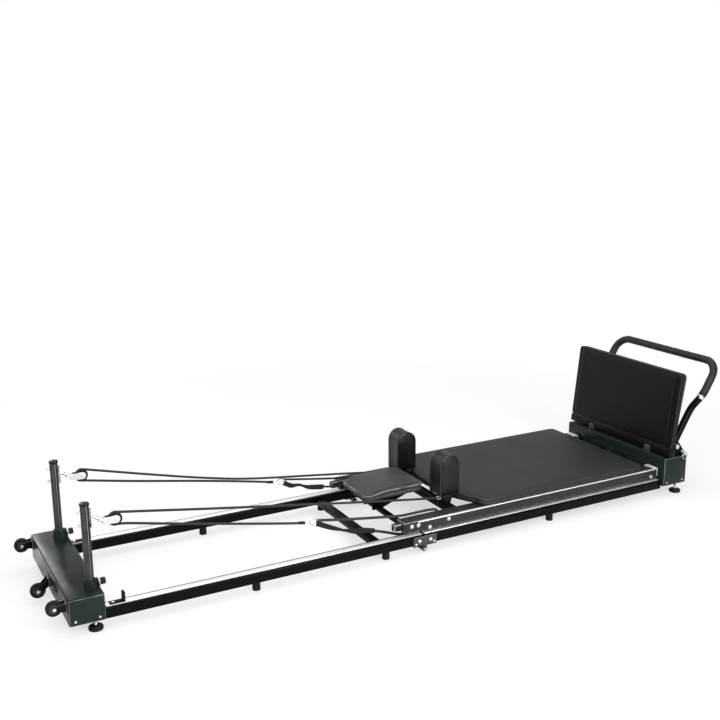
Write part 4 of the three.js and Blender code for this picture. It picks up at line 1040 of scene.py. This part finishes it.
# Spring bar: a plated steel bar on four arms that are welded to the foot box, with turned collars.
# An eye for each spring goes round it.
SPRING_BAR = 1052
bar_profile = mirrored([(0, -204), (7.4, -204), (8, -203.4)], closed=False)
collar = mirrored([(8.1, -8), (10.4, -8), (11, -7.2)], closed=False)
parts = [(turned(bar_profile, at(SPRING_BAR, 0, SPRING_HEIGHT), (0, 1, 0), 28), chrome)]
for y in (-195, -65, 65, 195):
    parts.append((block(at(SPRING_BAR + 2, y - 7.6, 97), at(1083.7, y + 7.6, 105), 0.0016), rail_paint))
    parts.append((turned(collar, at(SPRING_BAR, y, SPRING_HEIGHT), (0, 1, 0), 28), rail_paint))
    parts.append((block(at(1081, y - 10, 92), at(1083.9, y + 10, 110), 0.0008), rail_paint))
for y in SPRING_PLACES:
    parts.append((run_tube(hoop(SPRING_BAR, y, SPRING_HEIGHT, 9.6, 9.6, 28), 0.0015, 10), chrome))
piece("spring_bar_assembly", parts, "foot_frame", ["spring_bar"])


# Jump board: a padded panel on a stained backing board, leaning back a little, covered like the mat
# but smoother. Two steel blocks on the foot box carry its hinge pins.
board_cover = covered("board_cover", (12, 12, 13), (6, 6, 7), 0.42, 0.12, (0.3, 0.0003), grain=480.0)
board_trim = covered("board_trim", (40, 41, 43), (22, 22, 24), 0.3, 0.5, (0.2, 0.0002))
LEAN = math.radians(6.3)
PIVOT = (1117, 0, 172)
up_way = Vector((math.sin(LEAN), 0, math.cos(LEAN)))
back_way = Vector((math.cos(LEAN), 0, -math.sin(LEAN)))


def on_board(start, forward):
    """Puts an outline drawn across and up the board at a depth, pulled back or forward."""
    right = Vector((0, 1, 0)) if not forward else Vector((0, -1, 0))
    out = -back_way if forward else back_way
    turn = Matrix((right, up_way, out)).transposed().to_4x4()
    return Matrix.Translation(at(*PIVOT) + back_way * start / 1000) @ turn


HALF, LOW, HIGH, SEAM = 295, -12, 319, 17
lower = []
for s in (-1, 1):
    edge = [(s * 146, LOW), (s * 146, 13), (s * 149, 15), (s * 183, 15), (s * 186, 13), (s * 186, LOW),
            (s * 290, LOW), (s * 294, LOW + 3), (s * 294, SEAM)]
    lower += edge if s > 0 else edge[::-1]
lower = [(y / 1000, v / 1000) for y, v in lower]
backing = [(x / 1000, v / 1000) for x, v in (
    arc((HALF - 13, SEAM + 1), 1, -90, 0, 2) + arc((HALF - 15, HIGH - 15), 14, 0, 90)
    + arc((-HALF + 15, HIGH - 15), 14, 90, 180) + arc((-HALF + 13, SEAM + 1), 1, 180, 270, 2))]
outline = rounded(-HALF + 0.6, HALF - 0.6, SEAM, HIGH - 0.6, 14)
ring = spaced([(y / 1000, v / 1000) for y, v in outline], 0.009)
front = stuffed_form(ring, 0.0146, 0.005, 0.0022, 0.0008, seam=0.0035)
ripple(front, 12.0, 0.0006, 11.0)
trim = piped(ring, 0.0012, 0.0118, 0.0015)
parts = [(pulled(lower, 0.0268, on_board(-15.4, False), 0.0016, 2), board_cover),
         (pulled(backing, 0.0125, on_board(-0.8, False), 0.0014, 2), ply)]
for shape, material in ((front, board_cover), (trim, board_trim)):
    bmesh.ops.transform(shape, matrix=on_board(-0.6, True), verts=shape.verts)
    parts.append((shape, material))
for y in (-262, 262):
    stitch = []
    for v in range(SEAM + 8, HIGH - 6, 6):
        swell = 0.01535 + 0.0014 * (v - SEAM) * (HIGH - v) / 22800
        stitch.append(on_board(-0.6, True) @ Vector((y / 1000, v / 1000, swell)))
    parts.append((run_tube(stitch, 0.0007, 6), board_trim))
for y in (-282, -120, 0, 120, 282):
    for v in (40, 290):
        foot = on_board(11.7, False) @ Vector((y / 1000, v / 1000, 0))
        parts.append((dome_screw(foot, back_way, 3.4, 0.4), screw_steel))
for s in (-1, 1):
    for y in (146.5, 185.5):
        washer = [(4.4, -0.4), (7, -0.4), (7, 0.5), (4.4, 0.5)]
        parts.append((turned(washer, at(PIVOT[0], s * y, PIVOT[2]), (0, 1, 0), 20), screw_steel))
board = piece("jump_panel", parts, "jump_board", ["jump_board"], sharp=50)
for side, s in SIDES:
    outline = [(-12, -15.9), (11, -15.9), (11, 2), (9.4, 5.6), (6, 9), (-6, 9), (-10, 6), (-12, 2)]
    outline = flat((PIVOT[0] + x, PIVOT[2] + z) for x, z in outline)
    parts = [(pulled(outline, 0.036, across(s * 0.166 - 0.018), 0.0012, 2), leaf_paint),
             (turned([(0, 132), (3.6, 132), (4, 132.6), (4, 199.4), (3.6, 200), (0, 200)],
                     at(PIVOT[0], 0, PIVOT[2]), (0, s, 0), 24), screw_steel)]
    piece(f"board_hinge_block_{side}", parts, "foot_frame", [f"board_hinge_{side}"])


# Foot bar: one bent black steel tube on two pivots, with a foam grip over the top and a plated
# ferrule at each end of the foam. Its brackets are folded plates bolted to the foot box.
foam, given = effect("cell_foam", {"Colour": tone(22, 22, 23), "Painted_pit_shade": tone(8, 8, 8), "Roughness": 0.8})
spot = spot_on(foam)
cells = node(foam, "ShaderNodeTexVoronoi", {"Vector": spot, "Scale": 900.0}, feature="F1").outputs["Distance"]
polish = spread(foam, mottle(foam, spot, 14.0, 4.0), 0.35, 0.7, -0.22, 0.0)
# Painted shade: the colour darkens towards the cell edges, for the foam's pits.
put_out(foam, {
    "Colour": between(foam, spread(foam, cells, 0.1, 0.6), given["Colour"], given["Painted_pit_shade"]),
    "Roughness": maths(foam, "ADD", polish, given["Roughness"]),
    "Height": cells,
})
grip_foam = finish("grip_foam", foam, 0.62, (0.4, 0.0003), specular=0.35)

PIVOT_BAR, TOP_BAR = (1158, 192), (1345, 507)


def bar_point(share, out):
    """A place on the foot bar: a share of its height, and a distance from the centre line."""
    (x0, z0), (x1, z1) = PIVOT_BAR, TOP_BAR
    return at(x0 + share * (x1 - x0), out, z0 + share * (z1 - z0))


half_bar = [(-0.03, 250), (0.2, 250), (0.4, 250.6), (0.48, 256), (0.58, 270), (0.66, 276.4), (0.75, 277),
            (0.84, 277)]
for turn in (math.radians(angle) for angle in (15, 30, 45, 60, 75, 90)):
    half_bar.append((0.84 + 0.16 * math.sin(turn), 277 - 60 * (1 - math.cos(turn))))
whole = ([bar_point(share, -out) for share, out in half_bar]
         + [bar_point(1, y) for y in (-140, -60, 0, 60, 140)]
         + [bar_point(share, out) for share, out in reversed(half_bar)])
line = smooth_line(whole, 0.008)
FERRULE = 0.6
ends = [next(i for i, point in enumerate(line) if point.z > bar_point(FERRULE, 0).z)]
ends.append(len(line) - 1 - ends[0])
grip = line[ends[0]:ends[1] + 1]
swell = [0.0151 + 0.0002 * math.sin(k * 0.9) for k in range(len(grip))]
swell[0] = swell[-1] = 0.0143
parts = [(run_tube(line[:ends[0] + 2], 0.0138, 28), rail_paint),
         (run_tube(line[ends[1] - 1:], 0.0138, 28), rail_paint), (run_tube(grip, swell, 28), grip_foam)]
for i, step in ((ends[0], 1), (ends[1], -1)):
    way = (line[i + step] - line[i]).normalized()
    ferrule = [(13.9, -10), (15, -10), (15.3, -9), (15.3, 1), (15, 2), (13.9, 2)]
    parts.append((turned(ferrule, line[i], way, 32), chrome))
for s in (-1, 1):
    boss = mirrored([(4.8, -17), (15, -17), (15.6, -16)])
    parts.append((turned(boss, at(PIVOT_BAR[0], s * 250, PIVOT_BAR[1]), (0, 1, 0), 32), rail_paint))
piece("foot_bar_tube", parts, "foot_bar", ["foot_bar"])
for side, s in SIDES:
    parts = [(flank(s, (1142, 1198), (228, 272), (156.1, 159.3), 0.001), rail_paint)]
    ear = [(1144, 157.3), (1196, 157.3), (1196, 172.3), (1172, 204), (1169, 206.6), (1164, 209), (1150, 209),
           (1146.6, 206.4), (1144, 202)]
    for y in (231, 269):
        parts.append((pulled(flat(ear), 0.0036, across((s * y - 1.8) / 1000), 0.0009), rail_paint))
    bolt = [(0, 222.6), (5, 222.6), (5, 270), (0, 270)]
    head = [(0, 270.6), (10, 270.6), (10, 275), (9.2, 276.6), (6, 277), (6, 279.6), (0, 280)]
    nut = [(0, 223.6), (8, 223.6), (9, 224.6), (9, 229.2), (0, 229.2)]
    middle = at(PIVOT_BAR[0], 0, PIVOT_BAR[1])
    for profile, metal, count in ((bolt, screw_steel, 24), (head, chrome, 28), (nut, screw_steel, 6)):
        parts.append((turned(profile, middle, (0, s, 0), count), metal))
    for x in (1149, 1191):
        parts.append((dome_screw(at(x, s * 250, 159.2), (0, 0, 1), 3.2, 1.8), screw_steel))
    piece(f"bar_bracket_plates_{side}", parts, "foot_frame", [f"bar_bracket_{side}"])


# Lock pin: a steel pin with a turned collar and a split ring to pull it by. It goes through both
# ears of the near bracket and holds the foot bar at its height.
LOCK_PIN = at(1186, 0, 168)
pin = [(0, 226), (3.4, 226), (4, 227), (4, 272), (0, 272)]
collar = [(0, 271.6), (6.4, 271.6), (7, 272.4), (7, 276), (6.2, 277), (6.2, 279), (7, 280), (7, 283.4),
          (6.4, 284), (3.2, 284), (3.2, 288), (4, 289), (4, 292.4), (3.4, 293), (0, 293)]
ring = []
for k in range(41):
    turn = 4 * math.pi * k / 40
    ring.append(at(1186 + 12.8 * math.sin(turn), -291 + 0.9 * (k / 20 - 1), 155 + 12.8 * math.cos(turn)))
piece("lock_pin_steel", [(turned(pin, LOCK_PIN, (0, -1, 0), 24), screw_steel),
                         (turned(collar, LOCK_PIN, (0, -1, 0), 28), chrome),
                         (run_tube(ring, 0.0012, 10), chrome)], "lock_pin", ["lock_pin"])


# Studio: a pale floor that keeps a soft shadow, a white surround, a large soft lamp above the
# viewer's left, a broad one overhead, and three upright strips, one of them for the posts.
floor_paint, tree, shader = bare("studio_floor", **{"Roughness": 0.9, "Specular IOR Level": 0.0})
grit = mottle(tree, spot_on(tree), 3.0, 6.0)
tree.links.new(between(tree, grit, tone(238, 238, 238), tone(244, 244, 244)), shader.inputs["Base Color"])
seen = node(tree, "ShaderNodeLightPath").outputs
glow = node(tree, "ShaderNodeEmission", {"Color": (1, 1, 1, 1), "Strength": 1.0})
far_off = node(tree, "ShaderNodeVectorMath", {0: spot_on(tree)}, operation="LENGTH").outputs["Value"]
share = maths(tree, "MULTIPLY", seen["Is Camera Ray"], spread(tree, far_off, 1.5, 2.6, 0.62, 1.0))
surface = node(tree, "ShaderNodeMixShader", {0: share, 1: shader.outputs[0], 2: glow.outputs[0]})
tree.links.new(surface.outputs[0], tree.nodes["Material Output"].inputs["Surface"])
mesh = bpy.data.meshes.new("studio_floor")
mesh.from_pydata([(-14, -14, 0), (14, -14, 0), (14, 14, 0), (-14, 14, 0)], [], [(0, 1, 2, 3)])
mesh.materials.append(floor_paint)
floor = bpy.data.objects.new("studio_floor", mesh)
bpy.context.collection.objects.link(floor)

world = bpy.data.worlds.new("studio")
bpy.context.scene.world = world
world.use_nodes = True
tree = world.node_tree
ground = tree.nodes["Background"]
ground.inputs["Color"].default_value = (1, 1, 1, 1)
ground.inputs["Strength"].default_value = 0.45
white = node(tree, "ShaderNodeBackground", {"Color": (1, 1, 1, 1), "Strength": 1.0})
seen = node(tree, "ShaderNodeLightPath").outputs
straight = maths(tree, "MAXIMUM", seen["Is Camera Ray"], seen["Is Transmission Ray"])
either = maths(tree, "MULTIPLY_ADD", seen["Is Glossy Ray"], 0.5, straight)
surround = node(tree, "ShaderNodeMixShader", {0: either, 1: ground.outputs[0], 2: white.outputs[0]})
tree.links.new(surround.outputs[0], tree.nodes["World Output"].inputs["Surface"])


def lamp(name, place, aim, size, power):
    """A rectangular soft lamp that points at a spot."""
    light = bpy.data.lights.new(name, "AREA")
    light.shape = "RECTANGLE"
    light.size, light.size_y = size
    light.energy = power
    made = bpy.data.objects.new(name, light)
    way = Vector(aim) - Vector(place)
    made.matrix_world = Matrix.Translation(place) @ way.to_track_quat("-Z", "Y").to_matrix().to_4x4()
    bpy.context.collection.objects.link(made)


lamp("key", (-2.6, -3.4, 3.4), (-0.1, 0, 0.1), (2.4, 2.4), 90)
lamp("overhead", (0.3, 0.4, 3.6), (0.1, 0, 0), (3.6, 2.6), 70)
lamp("back_strip", (-1.2, 3.2, 1.6), (-0.6, 0, 0.2), (0.5, 2.2), 22)
lamp("side_strip", (-3.6, -1.2, 1.2), (-1.1, 0, 0.25), (0.4, 2.4), 16)
lamp("front_strip", (0.45, -2.5, 1.1), (-1.17, 0, 0.25), (0.12, 1.8), 60)

bpy.context.scene.view_settings.view_transform = "Standard"
